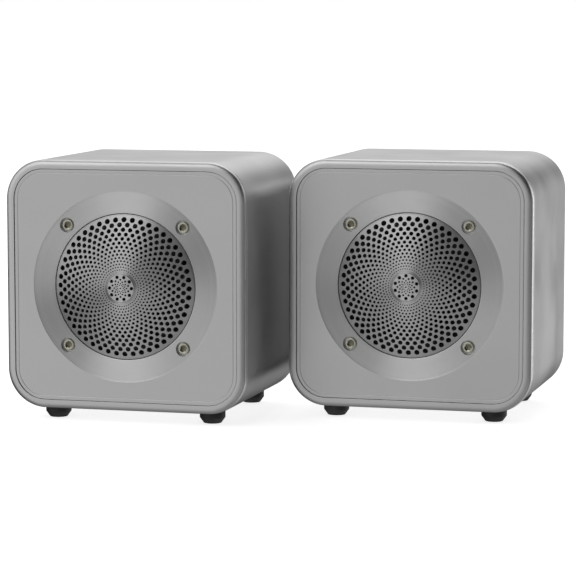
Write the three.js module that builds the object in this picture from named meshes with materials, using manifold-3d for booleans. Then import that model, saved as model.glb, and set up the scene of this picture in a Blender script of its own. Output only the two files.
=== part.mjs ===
// A pair of small cube desktop speakers in satin aluminium: two cabinets on rubber feet, each with a
// domed grille over a 3 inch full-range driver. The right one also holds the amplifier.
// Millimetres, +Z up, front towards -Y, centred over the origin, standing on Z = 0.
import * as THREE from "three";
import { mergeVertices } from "three/addons/utils/BufferGeometryUtils.js";
import Module from "manifold-3d";

// ---- driving dimensions ----
const CABINET_WIDTH = 120; // also its height, without the feet
const CABINET_DEPTH = 93;
const CORNER_RADIUS = 19;
const FOOT_HEIGHT = 6;
const FOOT_RADIUS = 6.2;
const FOOT_HALF_SPACING = 39.2;
const FOOT_FRONT = 15.1; // front foot's centre behind the bezel's front
const FOOT_REAR = 83.7;
const RIGHT_SHIFT = 129.7; // the right cabinet beside the left one
const RIGHT_SETBACK = 40.5; // and how far it stands behind it
const GAP = 0.3; // between pieces that are pressed or screwed together
const PANEL_CLEARANCE = 0.8; // between a part and the larger hole that it passes through

// front frame and plate
const BEZEL_WIDTH = 4.2;
const BEZEL_DEPTH = 3.1;
const BEZEL_TONGUE_BACK = 8;
const BEZEL_TONGUE_WALL = 1.2;
const PLATE_FRONT = 0.4;
const PLATE_THICKNESS = 4;
const DISH_RADIUS = 45.9;
const DISH_FLOOR_OUTER = 1.2;
const DISH_FLOOR_INNER = 1.6;

// grille
const GRILLE_RADIUS = 34.9;
const GRILLE_RIM = 1; // the dome's rim behind the bezel's front
const GRILLE_RISE = 6.8;
const GRILLE_SHEET = 0.8;
const GRILLE_FLANGE_RADIUS = 37.3;
const GRILLE_FLANGE_FRONT = 3.4;

// front screws, on a square of 57.8 mm
const SCREW_HALF_SPACING = 28.9;
const SCREW_HEAD_RADIUS = 3;
const SCREW_HEAD_FRONT = 1.5;
const SCREW_HEAD_BACK = 3.2;
const SCREW_SHANK_RADIUS = 1.5;
const SCREW_TIP = 14;
const SCREW_SOCKET_RADIUS = 1.45; // across the hexagon's corners, halved
const SCREW_SOCKET_DEPTH = 1.2;
const SEAT_GAP = 0.1; // under a screw's head

// cabinet
const WALL = 2.5;
const BAFFLE_FRONT = 6.5;
const BAFFLE_THICKNESS = 6;
const BAFFLE_HOLE_RADIUS = 33.2;
const BACK_PANEL_THICKNESS = 3;
const BACK_PANEL_RECESS = 0.5;

// driver, all depths measured back from the bezel's front
const FLANGE_FRONT = 4.7;
const FLANGE_RADIUS = 45;
const FLANGE_THICKNESS = 1.5;
const BASKET_RADIUS = 31; // inside its rim, where the surround is glued
const BASKET_WALL = 1.2;
const BASKET_LEDGE_RADIUS = 26; // the step that carries the spider
const BASKET_LEDGE_FRONT = 21.3;
const BASKET_FLOOR_RADIUS = 24.2;
const BASKET_FLOOR_BACK = 25.5;
const WINDOW_WIDTH = 12;
const WINDOW_FRONT = 9.5;
const WINDOW_BACK = 19;
const CONE_RADIUS = 27;
const CONE_PAPER = 0.7;
const CONE_FRONT = 5.2;
const CONE_NECK_RADIUS = 10.9;
const CONE_NECK_FRONT = 16.4;
const SURROUND_INNER = 25.6;
const SURROUND_OUTER = 33.6;
const SURROUND_ROLL = 2.1; // radius of the half roll
const SURROUND_SHEET = 0.6;
const DUST_CAP_RADIUS = 12.2;
const DUST_CAP_RISE = 4.5;
const THIN_SHEET = 0.5; // dust cap and spider
const FORMER_RADIUS = 10.3;
const FORMER_WALL = 0.6;
const FORMER_FRONT = 15.6;
const FORMER_BACK = 33.5;
const COIL_RADIUS = 10.6;
const COIL_FRONT = 24.5;
const COIL_BACK = 31.5;
const COIL_CLEARANCE = 0.5; // around the coil, in the gap of the magnet
const SPIDER_RADIUS = 25.6;
const SPIDER_DEPTH = 20.5;
const SPIDER_WAVES = 3;
const TOP_PLATE_FRONT = 25.8;
const TOP_PLATE_RADIUS = 26;
const MAGNET_FRONT = 30.1;
const MAGNET_RADIUS = 30;
const MAGNET_BORE = 13;
const YOKE_FRONT = 40.4;
const YOKE_RADIUS = 26.5;
const YOKE_THICKNESS = 4;
const POLE_RADIUS = 9.2;

// rear row of sockets and controls, measured from the cabinet's centre line
const ROW_HEIGHT = -24;
const LINK_X = -38;
const DC_X = -18;
const AUDIO_X = 0;
const SWITCH_X = 18;
const VOLUME_X = 38;
const BOARD_FRONT = 72;
const BOARD_THICKNESS = 1.6;
const BOARD_WIDTH = 78;
const BOARD_HEIGHT = 34;
const BOARD_X = 12;
const JACK_BODY = 11;
const JACK_NOSE_RADIUS = 3.5;
const JACK_BORE_RADIUS = 1.8;
const JACK_BORE_LENGTH = 12;
const DC_BODY_HEIGHT = 13;
const DC_NOSE_RADIUS = 5;
const DC_BORE_RADIUS = 2.9;
const DC_BORE_LENGTH = 8;
const DC_PIN_RADIUS = 1;
const POT_BODY = 17;
const POT_BACK = 85;
const BUSHING_RADIUS = 4.3;
const SHAFT_FRONT = 79.5;
const SHAFT_RADIUS = 3;
const KNOB_RADIUS = 9;
const KNOB_LENGTH = 12;
const KNOB_FACE = 2.5; // thickness of metal over the end of the shaft
const POINTER_START = THREE.MathUtils.degToRad(150); // lowest volume, at 7 o'clock seen from behind
const SWITCH_WIDTH = 12.6;
const SWITCH_HEIGHT = 19;
const SWITCH_FLANGE = 1.5;
const SWITCH_WELL_WIDTH = 10.6;
const SWITCH_WELL_HEIGHT = 16.8;
const SWITCH_WELL_FRONT = 84;
const ROCKER_WIDTH = 10;
const ROCKER_HALF_HEIGHT = 7.4;
const ROCKER_TILT = THREE.MathUtils.degToRad(9); // off at one side of level, on at the other

// derived
const CENTRE_HEIGHT = FOOT_HEIGHT + CABINET_WIDTH / 2;
const OPENING = CABINET_WIDTH - 2 * BEZEL_WIDTH;
const OPENING_RADIUS = CORNER_RADIUS - BEZEL_WIDTH;
const PLATE_BACK = PLATE_FRONT + PLATE_THICKNESS;
const INNER_WIDTH = CABINET_WIDTH - 2 * WALL;
const INNER_RADIUS = CORNER_RADIUS - WALL;
const PANEL_BACK = CABINET_DEPTH - BACK_PANEL_RECESS;
const PANEL_FRONT = PANEL_BACK - BACK_PANEL_THICKNESS;
const BODY_BACK = PANEL_FRONT - GAP; // where the socket bodies end, inside the back panel
const BOARD_BACK = BOARD_FRONT + BOARD_THICKNESS;
const KNOB_FRONT = CABINET_DEPTH + PANEL_CLEARANCE;
const ROUND = 16; // facets of most turned pieces
const ROUND_LARGE = 26;
const ROUND_SMALL = 10;
const OVERCUT = 1; // how far a cutting tool runs past the face that it opens
const CORNER_FACETS = 3; // half the facets of a round corner

const wasm = await Module();
wasm.setup();

// ---- joining and cutting ----
function toSolid(geometry) {
  const bare = geometry.index ? geometry.toNonIndexed() : geometry.clone();
  bare.deleteAttribute("normal");
  bare.deleteAttribute("uv");
  const merged = mergeVertices(bare, 1e-4);
  const triVerts = new Uint32Array(merged.index.array);
  const vertProperties = merged.attributes.position.array;
  return new wasm.Manifold(new wasm.Mesh({ numProp: 3, vertProperties, triVerts }));
}

function toGeometry(solid) {
  const mesh = solid.getMesh();
  const geometry = new THREE.BufferGeometry();
  geometry.setAttribute("position", new THREE.BufferAttribute(mesh.vertProperties, 3));
  geometry.setIndex(new THREE.BufferAttribute(mesh.triVerts, 1));
  geometry.computeVertexNormals();
  return geometry;
}

function cut(geometry, tools) {
  return toGeometry(tools.reduce((left, tool) => left.subtract(toSolid(tool)), toSolid(geometry)));
}

function join(geometry, others) {
  return toGeometry(others.reduce((sum, other) => sum.add(toSolid(other)), toSolid(geometry)));
}

// ---- shapes, in a frame centred on the cabinet's axis: X across, Y back, Z up ----
// Outline of a square with round corners.
function roundedSquare(width, radius) {
  const half = width / 2;
  const flat = half - radius;
  const shape = new THREE.Shape();
  shape.moveTo(-flat, -half);
  shape.lineTo(flat, -half);
  shape.absarc(flat, -flat, radius, -Math.PI / 2, 0);
  shape.lineTo(half, flat);
  shape.absarc(flat, flat, radius, 0, Math.PI / 2);
  shape.lineTo(-flat, half);
  shape.absarc(-flat, flat, radius, Math.PI / 2, Math.PI);
  shape.lineTo(-half, -flat);
  shape.absarc(-flat, -flat, radius, Math.PI, 1.5 * Math.PI);
  return shape;
}

// A plate of the given outline between two depths.
function plate(shape, front, back) {
  const geometry = new THREE.ExtrudeGeometry(shape, {
    depth: back - front,
    bevelEnabled: false,
    curveSegments: CORNER_FACETS,
  });
  return geometry.rotateX(Math.PI / 2).translate(0, back, 0);
}

// A body turned about the Y axis. Points are [radius, depth], clockwise with the radius across and
// the depth up, and a ring's outline is closed.
function turned(points, segments = ROUND) {
  const profile = points.map(([radius, depth]) => new THREE.Vector2(radius, depth));
  return new THREE.LatheGeometry(profile, segments);
}

function turnedRing(points, segments = ROUND) {
  return turned([...points, points[0]], segments);
}

function disc(radius, front, back, segments = ROUND) {
  const points = [
    [0, front],
    [radius, front],
    [radius, back],
    [0, back],
  ];
  return turned(points, segments);
}

function ring(inner, outer, front, back, segments = ROUND) {
  const points = [
    [inner, front],
    [outer, front],
    [outer, back],
    [inner, back],
  ];
  return turnedRing(points, segments);
}

function box(width, height, front, back) {
  return new THREE.BoxGeometry(width, back - front, height).translate(0, (front + back) / 2, 0);
}

// Points on a circular cap of a given rim radius and rise, from its rim to the axis. The rim lies at
// depth rim, and the middle stands in front of it by the rise.
function cap(radius, rise, rim, steps) {
  const sphere = (radius * radius + rise * rise) / (2 * rise);
  const half = Math.asin(radius / sphere);
  return Array.from({ length: steps + 1 }, (_, i) => {
    const angle = half * (1 - i / steps);
    return [sphere * Math.sin(angle), rim - (sphere * Math.cos(angle) - sphere + rise)];
  });
}

function screwPlaces() {
  const s = SCREW_HALF_SPACING;
  return [
    [-s, s],
    [s, s],
    [s, -s],
    [-s, -s],
  ];
}

function holesForScrews(radius, front, back) {
  return screwPlaces().map(([x, z]) => disc(radius, front, back, ROUND_SMALL).translate(x, 0, z));
}

// ---- materials ----
function metal(color, roughness) {
  return new THREE.MeshStandardMaterial({ color, roughness, metalness: 1 });
}

function plain(color, roughness) {
  return new THREE.MeshStandardMaterial({ color, roughness, metalness: 0 });
}

const SATIN_ALUMINIUM = metal(0xb9bab8, 0.38);
const BRUSHED_ALUMINIUM = metal(0xadadab, 0.45);
const GRILLE_METAL = metal(0xa3a3a1, 0.4);
const ZINC = metal(0xc3c1ab, 0.35);
const STEEL = metal(0x8f9192, 0.4);
const COPPER = metal(0xb0673a, 0.4);
const BLACK_STEEL = plain(0x1b1b1c, 0.5);
const FERRITE = plain(0x2b2a2a, 0.7);
const RUBBER = plain(0x161617, 0.75);
const PAPER = plain(0x18191a, 0.85);
const CLOTH = plain(0xb58a45, 0.9);
const WADDING = plain(0xe4e3dd, 1);
const BLACK_PLASTIC = plain(0x1c1c1d, 0.55);
const BOARD_GREEN = plain(0x17492c, 0.4);

function piece(name, geometry, material) {
  const mesh = new THREE.Mesh(geometry, material);
  mesh.name = name;
  return mesh;
}

// ---- cabinet ----
function shell() {
  const outline = roundedSquare(CABINET_WIDTH, CORNER_RADIUS);
  outline.holes.push(roundedSquare(INNER_WIDTH, INNER_RADIUS));
  return plate(outline, BEZEL_DEPTH + GAP, CABINET_DEPTH);
}

// The front edge is a quarter round, and a tongue reaches back inside the shell.
function frontBezel() {
  const size = BEZEL_WIDTH - 0.2; // a narrow flat stays beside the opening
  const block = new THREE.ExtrudeGeometry(roundedSquare(CABINET_WIDTH, CORNER_RADIUS), {
    depth: BEZEL_DEPTH,
    bevelThickness: BEZEL_DEPTH,
    bevelSize: size,
    bevelOffset: -size,
    bevelSegments: 4,
    curveSegments: CORNER_FACETS,
  });
  block.rotateX(Math.PI / 2).translate(0, 2 * BEZEL_DEPTH, 0);
  const backHalf = box(2 * CABINET_WIDTH, 2 * CABINET_WIDTH, BEZEL_DEPTH, 4 * BEZEL_DEPTH);
  const front = cut(block, [backHalf]);
  const tongueShape = roundedSquare(OPENING + 2 * BEZEL_TONGUE_WALL, OPENING_RADIUS + BEZEL_TONGUE_WALL);
  const tongue = plate(tongueShape, BEZEL_DEPTH - OVERCUT, BEZEL_TONGUE_BACK);
  const openingShape = roundedSquare(OPENING, OPENING_RADIUS);
  const opening = plate(openingShape, -OVERCUT, BEZEL_TONGUE_BACK + OVERCUT);
  return cut(join(front, [tongue]), [opening]);
}

// A plate with a shallow turned dish, a stepped opening for the grille and counterbored holes.
function faceplate() {
  const blank = plate(roundedSquare(OPENING - 2 * GAP, OPENING_RADIUS - GAP), PLATE_FRONT, PLATE_BACK);
  const edge = GRILLE_RADIUS + GAP;
  const rebateFront = GRILLE_FLANGE_FRONT - GAP;
  const core = [
    [0, PLATE_FRONT - OVERCUT],
    [DISH_RADIUS, PLATE_FRONT - OVERCUT],
    [DISH_RADIUS, DISH_FLOOR_OUTER],
    [edge, DISH_FLOOR_INNER],
    [edge, rebateFront],
    [GRILLE_FLANGE_RADIUS + GAP, rebateFront],
    [GRILLE_FLANGE_RADIUS + GAP, PLATE_BACK + OVERCUT],
    [0, PLATE_BACK + OVERCUT],
  ];
  const counterbores = holesForScrews(SCREW_HEAD_RADIUS + GAP, 0, SCREW_HEAD_BACK + SEAT_GAP);
  const shankHoles = holesForScrews(SCREW_SHANK_RADIUS + GAP, 0, PLATE_BACK + OVERCUT);
  return cut(blank, [turned(core, 2 * ROUND), ...counterbores, ...shankHoles]);
}

// A domed sheet with a skirt that drops through the plate and a flange held behind it.
function grille() {
  const front = cap(GRILLE_RADIUS, GRILLE_RISE, GRILLE_RIM, 5);
  const innerRim = GRILLE_RIM + GRILLE_SHEET / 2;
  const innerRise = GRILLE_RISE - GRILLE_SHEET / 2;
  const back = cap(GRILLE_RADIUS - GRILLE_SHEET, innerRise, innerRim, 3);
  const flangeBack = GRILLE_FLANGE_FRONT + GRILLE_SHEET;
  const points = [
    ...front.toReversed(),
    [GRILLE_RADIUS, GRILLE_FLANGE_FRONT],
    [GRILLE_FLANGE_RADIUS, GRILLE_FLANGE_FRONT],
    [GRILLE_FLANGE_RADIUS, flangeBack],
    [GRILLE_RADIUS - GRILLE_SHEET, flangeBack],
    ...back,
  ];
  return turned(points, ROUND_LARGE);
}

function grilleScrew() {
  const body = turned(
    [
      [0, SCREW_HEAD_FRONT],
      [SCREW_HEAD_RADIUS, SCREW_HEAD_FRONT],
      [SCREW_HEAD_RADIUS, SCREW_HEAD_BACK],
      [SCREW_SHANK_RADIUS, SCREW_HEAD_BACK],
      [SCREW_SHANK_RADIUS, SCREW_TIP],
      [0, SCREW_TIP],
    ],
    ROUND_SMALL,
  );
  const socket = disc(SCREW_SOCKET_RADIUS, 0, SCREW_HEAD_FRONT + SCREW_SOCKET_DEPTH, 6);
  return cut(body, [socket]);
}

function baffle() {
  const back = BAFFLE_FRONT + BAFFLE_THICKNESS;
  const blank = plate(roundedSquare(OPENING - 2 * GAP, OPENING_RADIUS - GAP), BAFFLE_FRONT, back);
  const hole = disc(BAFFLE_HOLE_RADIUS, BAFFLE_FRONT - OVERCUT, back + OVERCUT, ROUND_LARGE);
  const screws = holesForScrews(SCREW_SHANK_RADIUS + GAP, BAFFLE_FRONT - OVERCUT, back + OVERCUT);
  return cut(blank, [hole, ...screws]);
}

// Rounded at its foot, flat where it meets the shell, standing on Z = 0.
function foot() {
  const profile = [
    [0, 0],
    [0.7 * FOOT_RADIUS, 0],
    [0.9 * FOOT_RADIUS, 0.15 * FOOT_HEIGHT],
    [FOOT_RADIUS, 0.4 * FOOT_HEIGHT],
    [FOOT_RADIUS, FOOT_HEIGHT],
    [0, FOOT_HEIGHT],
  ];
  return turned(profile).rotateX(Math.PI / 2);
}

// A pillow of fibre in the upper half of the cabinet, behind the driver.
function wadding() {
  const halfWidth = 40;
  const low = 16;
  const high = 46;
  const depth = 24;
  const edge = 4;
  const shape = new THREE.Shape();
  shape.moveTo(-halfWidth, low);
  shape.lineTo(halfWidth, low);
  shape.lineTo(halfWidth, high);
  shape.lineTo(-halfWidth, high);
  const geometry = new THREE.ExtrudeGeometry(shape, {
    depth,
    bevelThickness: edge,
    bevelSize: edge,
    bevelSegments: 2,
  });
  return geometry.rotateX(Math.PI / 2).translate(0, PANEL_FRONT - edge - 2 * edge, 0);
}

// ---- driver, turned about the cabinet's axis ----
function driverBasket() {
  const flangeBack = FLANGE_FRONT + FLANGE_THICKNESS;
  const coilHole = COIL_RADIUS + 2 * COIL_CLEARANCE;
  const floorFront = BASKET_FLOOR_BACK - BASKET_WALL;
  const outline = [
    [BASKET_RADIUS, FLANGE_FRONT],
    [FLANGE_RADIUS, FLANGE_FRONT],
    [FLANGE_RADIUS, flangeBack],
    [BASKET_RADIUS + BASKET_WALL, flangeBack],
    [BASKET_LEDGE_RADIUS + BASKET_WALL, BASKET_LEDGE_FRONT + BASKET_WALL],
    [BASKET_FLOOR_RADIUS, BASKET_LEDGE_FRONT + BASKET_WALL],
    [BASKET_FLOOR_RADIUS, BASKET_FLOOR_BACK],
    [coilHole, BASKET_FLOOR_BACK],
    [coilHole, floorFront],
    [BASKET_FLOOR_RADIUS - BASKET_WALL, floorFront],
    [BASKET_FLOOR_RADIUS - BASKET_WALL, BASKET_LEDGE_FRONT],
    [BASKET_LEDGE_RADIUS, BASKET_LEDGE_FRONT],
    [BASKET_RADIUS, flangeBack],
  ];
  // Each box opens two windows, one on either side of the axis.
  const windows = [0, 1, 2].map((i) =>
    box(WINDOW_WIDTH, 2 * FLANGE_RADIUS, WINDOW_FRONT, WINDOW_BACK).rotateY((i * Math.PI) / 3),
  );
  const screws = holesForScrews(SCREW_SHANK_RADIUS + GAP, 0, flangeBack + OVERCUT);
  return cut(turnedRing(outline), [...windows, ...screws]);
}

// A half roll between two flat lips.
function surround() {
  const lipBack = CONE_FRONT - GAP;
  const lipFront = lipBack - SURROUND_SHEET;
  const outerBack = FLANGE_FRONT - GAP;
  const middle = (CONE_RADIUS + BASKET_RADIUS) / 2 + 0.3;
  const arc = (radius) =>
    [1, 2, 3].map((i) => {
      const angle = (i * Math.PI) / 4;
      return [middle - radius * Math.cos(angle), lipFront + GAP - radius * Math.sin(angle)];
    });
  const outline = [
    [SURROUND_INNER, lipFront],
    ...arc(SURROUND_ROLL + SURROUND_SHEET / 2),
    [SURROUND_OUTER, outerBack - SURROUND_SHEET],
    [SURROUND_OUTER, outerBack],
    ...arc(SURROUND_ROLL - SURROUND_SHEET / 2).toReversed(),
    [CONE_RADIUS, lipBack],
    [SURROUND_INNER, lipBack],
  ];
  return turnedRing(outline);
}

function cone() {
  const outline = [
    [CONE_NECK_RADIUS, CONE_NECK_FRONT],
    [SURROUND_INNER, CONE_FRONT],
    [CONE_RADIUS, CONE_FRONT],
    [CONE_RADIUS, CONE_FRONT + CONE_PAPER],
    [SURROUND_INNER, CONE_FRONT + 1.4 * CONE_PAPER],
    [CONE_NECK_RADIUS, CONE_NECK_FRONT + 1.4 * CONE_PAPER],
  ];
  return turnedRing(outline);
}

function dustCap() {
  // The slope of the cone's front face gives the depth where the cap's rim is glued.
  const slope = (CONE_NECK_FRONT - CONE_FRONT) / (SURROUND_INNER - CONE_NECK_RADIUS);
  const rim = CONE_NECK_FRONT - slope * (DUST_CAP_RADIUS - CONE_NECK_RADIUS) - 1.4 * GAP;
  const front = cap(DUST_CAP_RADIUS, DUST_CAP_RISE, rim, 3);
  const back = cap(DUST_CAP_RADIUS - THIN_SHEET, DUST_CAP_RISE - 0.8 * THIN_SHEET, rim + 0.1, 3);
  return turned([...front.toReversed(), ...back]);
}

// The paper tube, thicker where the wire is wound on it.
function voiceCoil() {
  const bore = FORMER_RADIUS - FORMER_WALL;
  const outline = [
    [bore, FORMER_FRONT],
    [FORMER_RADIUS, FORMER_FRONT],
    [FORMER_RADIUS, COIL_FRONT],
    [COIL_RADIUS, COIL_FRONT],
    [COIL_RADIUS, COIL_BACK],
    [FORMER_RADIUS, COIL_BACK],
    [FORMER_RADIUS, FORMER_BACK],
    [bore, FORMER_BACK],
  ];
  return turnedRing(outline);
}

// A cloth disc pressed into waves, with a flat lip on the basket's ledge.
function spider() {
  const inner = FORMER_RADIUS + COIL_CLEARANCE;
  const lipWidth = 1.5;
  const pitch = (SPIDER_RADIUS - lipWidth - inner) / SPIDER_WAVES;
  const front = Array.from({ length: SPIDER_WAVES + 1 }, (_, i) => {
    const height = i % 2 ? 0.3 : -0.7;
    return [inner + i * pitch, SPIDER_DEPTH + height];
  });
  const back = front.map(([radius, depth]) => [radius, depth + THIN_SHEET]).toReversed();
  const lip = [
    [SPIDER_RADIUS, SPIDER_DEPTH],
    [SPIDER_RADIUS, SPIDER_DEPTH + THIN_SHEET],
  ];
  return turnedRing([...front, ...lip, ...back]);
}

function topPlate() {
  return ring(COIL_RADIUS + COIL_CLEARANCE, TOP_PLATE_RADIUS, TOP_PLATE_FRONT, MAGNET_FRONT - GAP);
}

function magnet() {
  return ring(MAGNET_BORE, MAGNET_RADIUS, MAGNET_FRONT, YOKE_FRONT - GAP);
}

// The back plate and the pole that stands in the coil.
function yoke() {
  const outline = [
    [0, TOP_PLATE_FRONT],
    [POLE_RADIUS, TOP_PLATE_FRONT],
    [POLE_RADIUS, YOKE_FRONT],
    [YOKE_RADIUS, YOKE_FRONT],
    [YOKE_RADIUS, YOKE_FRONT + YOKE_THICKNESS],
    [0, YOKE_FRONT + YOKE_THICKNESS],
  ];
  return turned(outline);
}

// From the basket's terminals to the link socket, clipped along the cabinet's wall.
function driverLead() {
  const radius = 1.2;
  const route = new THREE.CatmullRomCurve3([
    new THREE.Vector3(-31, 16, -17),
    new THREE.Vector3(-37, 24, -22),
    new THREE.Vector3(-46, 36, -26),
    new THREE.Vector3(-49, 52, -26),
    new THREE.Vector3(-47, 66, ROW_HEIGHT),
    new THREE.Vector3(LINK_X, BOARD_BACK - 1, ROW_HEIGHT),
  ]);
  const section = new THREE.Shape().absarc(0, 0, radius, 0, 2 * Math.PI);
  return new THREE.ExtrudeGeometry(section, { extrudePath: route, steps: 16, curveSegments: 4 });
}

// ---- back panel, sockets and controls ----
function backPanel(powered) {
  const shape = roundedSquare(INNER_WIDTH - 2 * GAP, INNER_RADIUS - GAP);
  const [front, back] = [PANEL_FRONT - OVERCUT, PANEL_BACK + OVERCUT];
  const hole = (radius, x) => disc(radius + GAP, front, back).translate(x, 0, ROW_HEIGHT);
  const holes = [hole(JACK_NOSE_RADIUS, LINK_X)];
  if (powered) {
    holes.push(hole(DC_NOSE_RADIUS, DC_X));
    holes.push(hole(JACK_NOSE_RADIUS, AUDIO_X));
    holes.push(hole(BUSHING_RADIUS, VOLUME_X));
    const slot = box(SWITCH_WIDTH + 2 * GAP, SWITCH_HEIGHT + 2 * GAP, front, back);
    holes.push(slot.translate(SWITCH_X, 0, ROW_HEIGHT));
  }
  return cut(plate(shape, PANEL_FRONT, PANEL_BACK), holes);
}

// A 3.5 mm jack socket with a round nose through the panel.
function jackSocket() {
  const body = box(JACK_BODY, JACK_BODY, BOARD_BACK + GAP, BODY_BACK);
  const nose = disc(JACK_NOSE_RADIUS, BODY_BACK - OVERCUT, CABINET_DEPTH);
  const boreFront = BODY_BACK - JACK_BORE_LENGTH;
  const bore = disc(JACK_BORE_RADIUS, boreFront, CABINET_DEPTH + OVERCUT, ROUND_SMALL);
  return cut(join(body, [nose]), [bore]);
}

// A barrel socket with its centre pin.
function dcSocket() {
  const body = box(JACK_BODY, DC_BODY_HEIGHT, BOARD_BACK + GAP, BODY_BACK);
  const nose = disc(DC_NOSE_RADIUS, BODY_BACK - OVERCUT, CABINET_DEPTH);
  const boreFront = BODY_BACK - DC_BORE_LENGTH;
  const bore = disc(DC_BORE_RADIUS, boreFront, CABINET_DEPTH + OVERCUT);
  const pin = disc(DC_PIN_RADIUS, boreFront - OVERCUT, CABINET_DEPTH - 1, ROUND_SMALL);
  return join(cut(join(body, [nose]), [bore]), [pin]);
}

function switchFrame() {
  const flangeFront = PANEL_BACK + GAP;
  const flangeBack = flangeFront + SWITCH_FLANGE;
  const body = box(SWITCH_WIDTH, SWITCH_HEIGHT, BOARD_BACK + GAP, flangeBack - OVERCUT);
  const flange = box(SWITCH_WIDTH + 2.4, SWITCH_HEIGHT + 2.6, flangeFront, flangeBack);
  const wellBack = flangeBack + OVERCUT;
  const well = box(SWITCH_WELL_WIDTH, SWITCH_WELL_HEIGHT, SWITCH_WELL_FRONT, wellBack);
  return cut(join(body, [flange]), [well]);
}

// Seen from the side, a shallow V outside and a round belly inside, about its own pivot.
function powerRocker() {
  const half = ROCKER_HALF_HEIGHT;
  const end = 3.4; // how far the outer face's ends stand out from the pivot
  const middle = 1.4;
  const bevel = 0.5;
  const shape = new THREE.Shape();
  shape.moveTo(-half, end);
  shape.lineTo(-half, -1);
  shape.quadraticCurveTo(0, -half, half, -1);
  shape.lineTo(half, end);
  shape.lineTo(0, middle);
  const geometry = new THREE.ExtrudeGeometry(shape, {
    depth: ROCKER_WIDTH - 2 * bevel,
    bevelThickness: bevel,
    bevelSize: bevel,
    bevelOffset: -bevel,
    bevelSegments: 1,
    curveSegments: 6,
  });
  return geometry.translate(0, 0, bevel - ROCKER_WIDTH / 2).rotateY(Math.PI / 2);
}

function volumePot() {
  const body = box(POT_BODY, POT_BODY, BOARD_BACK + GAP, POT_BACK);
  const bushing = disc(BUSHING_RADIUS, POT_BACK - OVERCUT, PANEL_BACK);
  const bore = disc(SHAFT_RADIUS + GAP, SHAFT_FRONT - GAP, PANEL_BACK + OVERCUT);
  return cut(join(body, [bushing]), [bore]);
}

function volumeShaft() {
  return disc(SHAFT_RADIUS, SHAFT_FRONT, KNOB_FRONT + KNOB_LENGTH - KNOB_FACE - GAP);
}

// A turned knob with a blind bore for the shaft and a pointer slot in its end face.
function volumeKnob() {
  const back = KNOB_FRONT + KNOB_LENGTH;
  const bore = SHAFT_RADIUS + GAP;
  const boreEnd = back - KNOB_FACE;
  const chamfer = 1.2;
  const body = turned([
    [0, boreEnd],
    [bore, boreEnd],
    [bore, KNOB_FRONT],
    [KNOB_RADIUS - 0.4, KNOB_FRONT],
    [KNOB_RADIUS, KNOB_FRONT + 1],
    [KNOB_RADIUS, back - chamfer],
    [KNOB_RADIUS - chamfer, back],
    [0, back],
  ]);
  const pointer = box(1.2, 4.5, back - 0.5, back + OVERCUT).translate(0, 0, KNOB_RADIUS / 1.5);
  return cut(body, [pointer.rotateY(POINTER_START)]);
}

function ampBoard() {
  return box(BOARD_WIDTH, BOARD_HEIGHT, BOARD_FRONT, BOARD_BACK);
}

// ---- one cabinet with all that both cabinets hold ----
function speaker(side, powered) {
  const group = new THREE.Group();
  const named = (name) => `${side}_${name}`;
  const axis = new THREE.Group();
  axis.position.z = CENTRE_HEIGHT;
  group.add(axis);
  axis.add(
    piece(named("shell"), shell(), SATIN_ALUMINIUM),
    piece(named("front_bezel"), frontBezel(), SATIN_ALUMINIUM),
    piece(named("faceplate"), faceplate(), BRUSHED_ALUMINIUM),
    piece(named("grille"), grille(), GRILLE_METAL),
    piece(named("baffle"), baffle(), BLACK_PLASTIC),
    piece(named("driver_basket"), driverBasket(), BLACK_STEEL),
    piece(named("surround"), surround(), RUBBER),
    piece(named("cone"), cone(), PAPER),
    piece(named("dust_cap"), dustCap(), PAPER),
    piece(named("voice_coil"), voiceCoil(), COPPER),
    piece(named("spider"), spider(), CLOTH),
    piece(named("top_plate"), topPlate(), STEEL),
    piece(named("magnet"), magnet(), FERRITE),
    piece(named("yoke"), yoke(), STEEL),
    piece(named("driver_lead"), driverLead(), RUBBER),
    piece(named("wadding"), wadding(), WADDING),
    piece(named("back_panel"), backPanel(powered), BLACK_PLASTIC),
  );
  const linkSocket = piece(named("link_socket"), jackSocket(), BLACK_PLASTIC);
  linkSocket.position.set(LINK_X, 0, ROW_HEIGHT);
  axis.add(linkSocket);
  screwPlaces().forEach(([x, z], i) => {
    const screw = piece(named(`grille_screw_${i + 1}`), grilleScrew(), ZINC);
    screw.position.set(x, 0, z);
    axis.add(screw);
  });
  const feet = [
    [-FOOT_HALF_SPACING, FOOT_FRONT],
    [FOOT_HALF_SPACING, FOOT_FRONT],
    [FOOT_HALF_SPACING, FOOT_REAR],
    [-FOOT_HALF_SPACING, FOOT_REAR],
  ];
  feet.forEach(([x, y], i) => {
    const rubberFoot = piece(named(`foot_${i + 1}`), foot(), RUBBER);
    rubberFoot.position.set(x, y, 0);
    group.add(rubberFoot);
  });
  return group;
}

// ---- what only the powered cabinet holds ----
function controls() {
  const row = new THREE.Group();
  row.position.z = CENTRE_HEIGHT + ROW_HEIGHT;
  const put = (mesh, x) => {
    mesh.position.x = x;
    row.add(mesh);
    return mesh;
  };
  put(piece("amp_board", ampBoard(), BOARD_GREEN), BOARD_X);
  put(piece("dc_inlet", dcSocket(), BLACK_PLASTIC), DC_X);
  put(piece("audio_socket", jackSocket(), BLACK_PLASTIC), AUDIO_X);
  put(piece("power_switch_frame", switchFrame(), BLACK_PLASTIC), SWITCH_X);
  put(piece("volume_pot", volumePot(), STEEL), VOLUME_X);
  put(piece("volume_shaft", volumeShaft(), STEEL), VOLUME_X);
  put(piece("volume_knob", volumeKnob(), SATIN_ALUMINIUM), VOLUME_X);
  const rocker = put(piece("power_rocker", powerRocker(), BLACK_PLASTIC), SWITCH_X);
  rocker.position.y = CABINET_DEPTH;
  rocker.rotation.x = ROCKER_TILT;
  return row;
}

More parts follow.
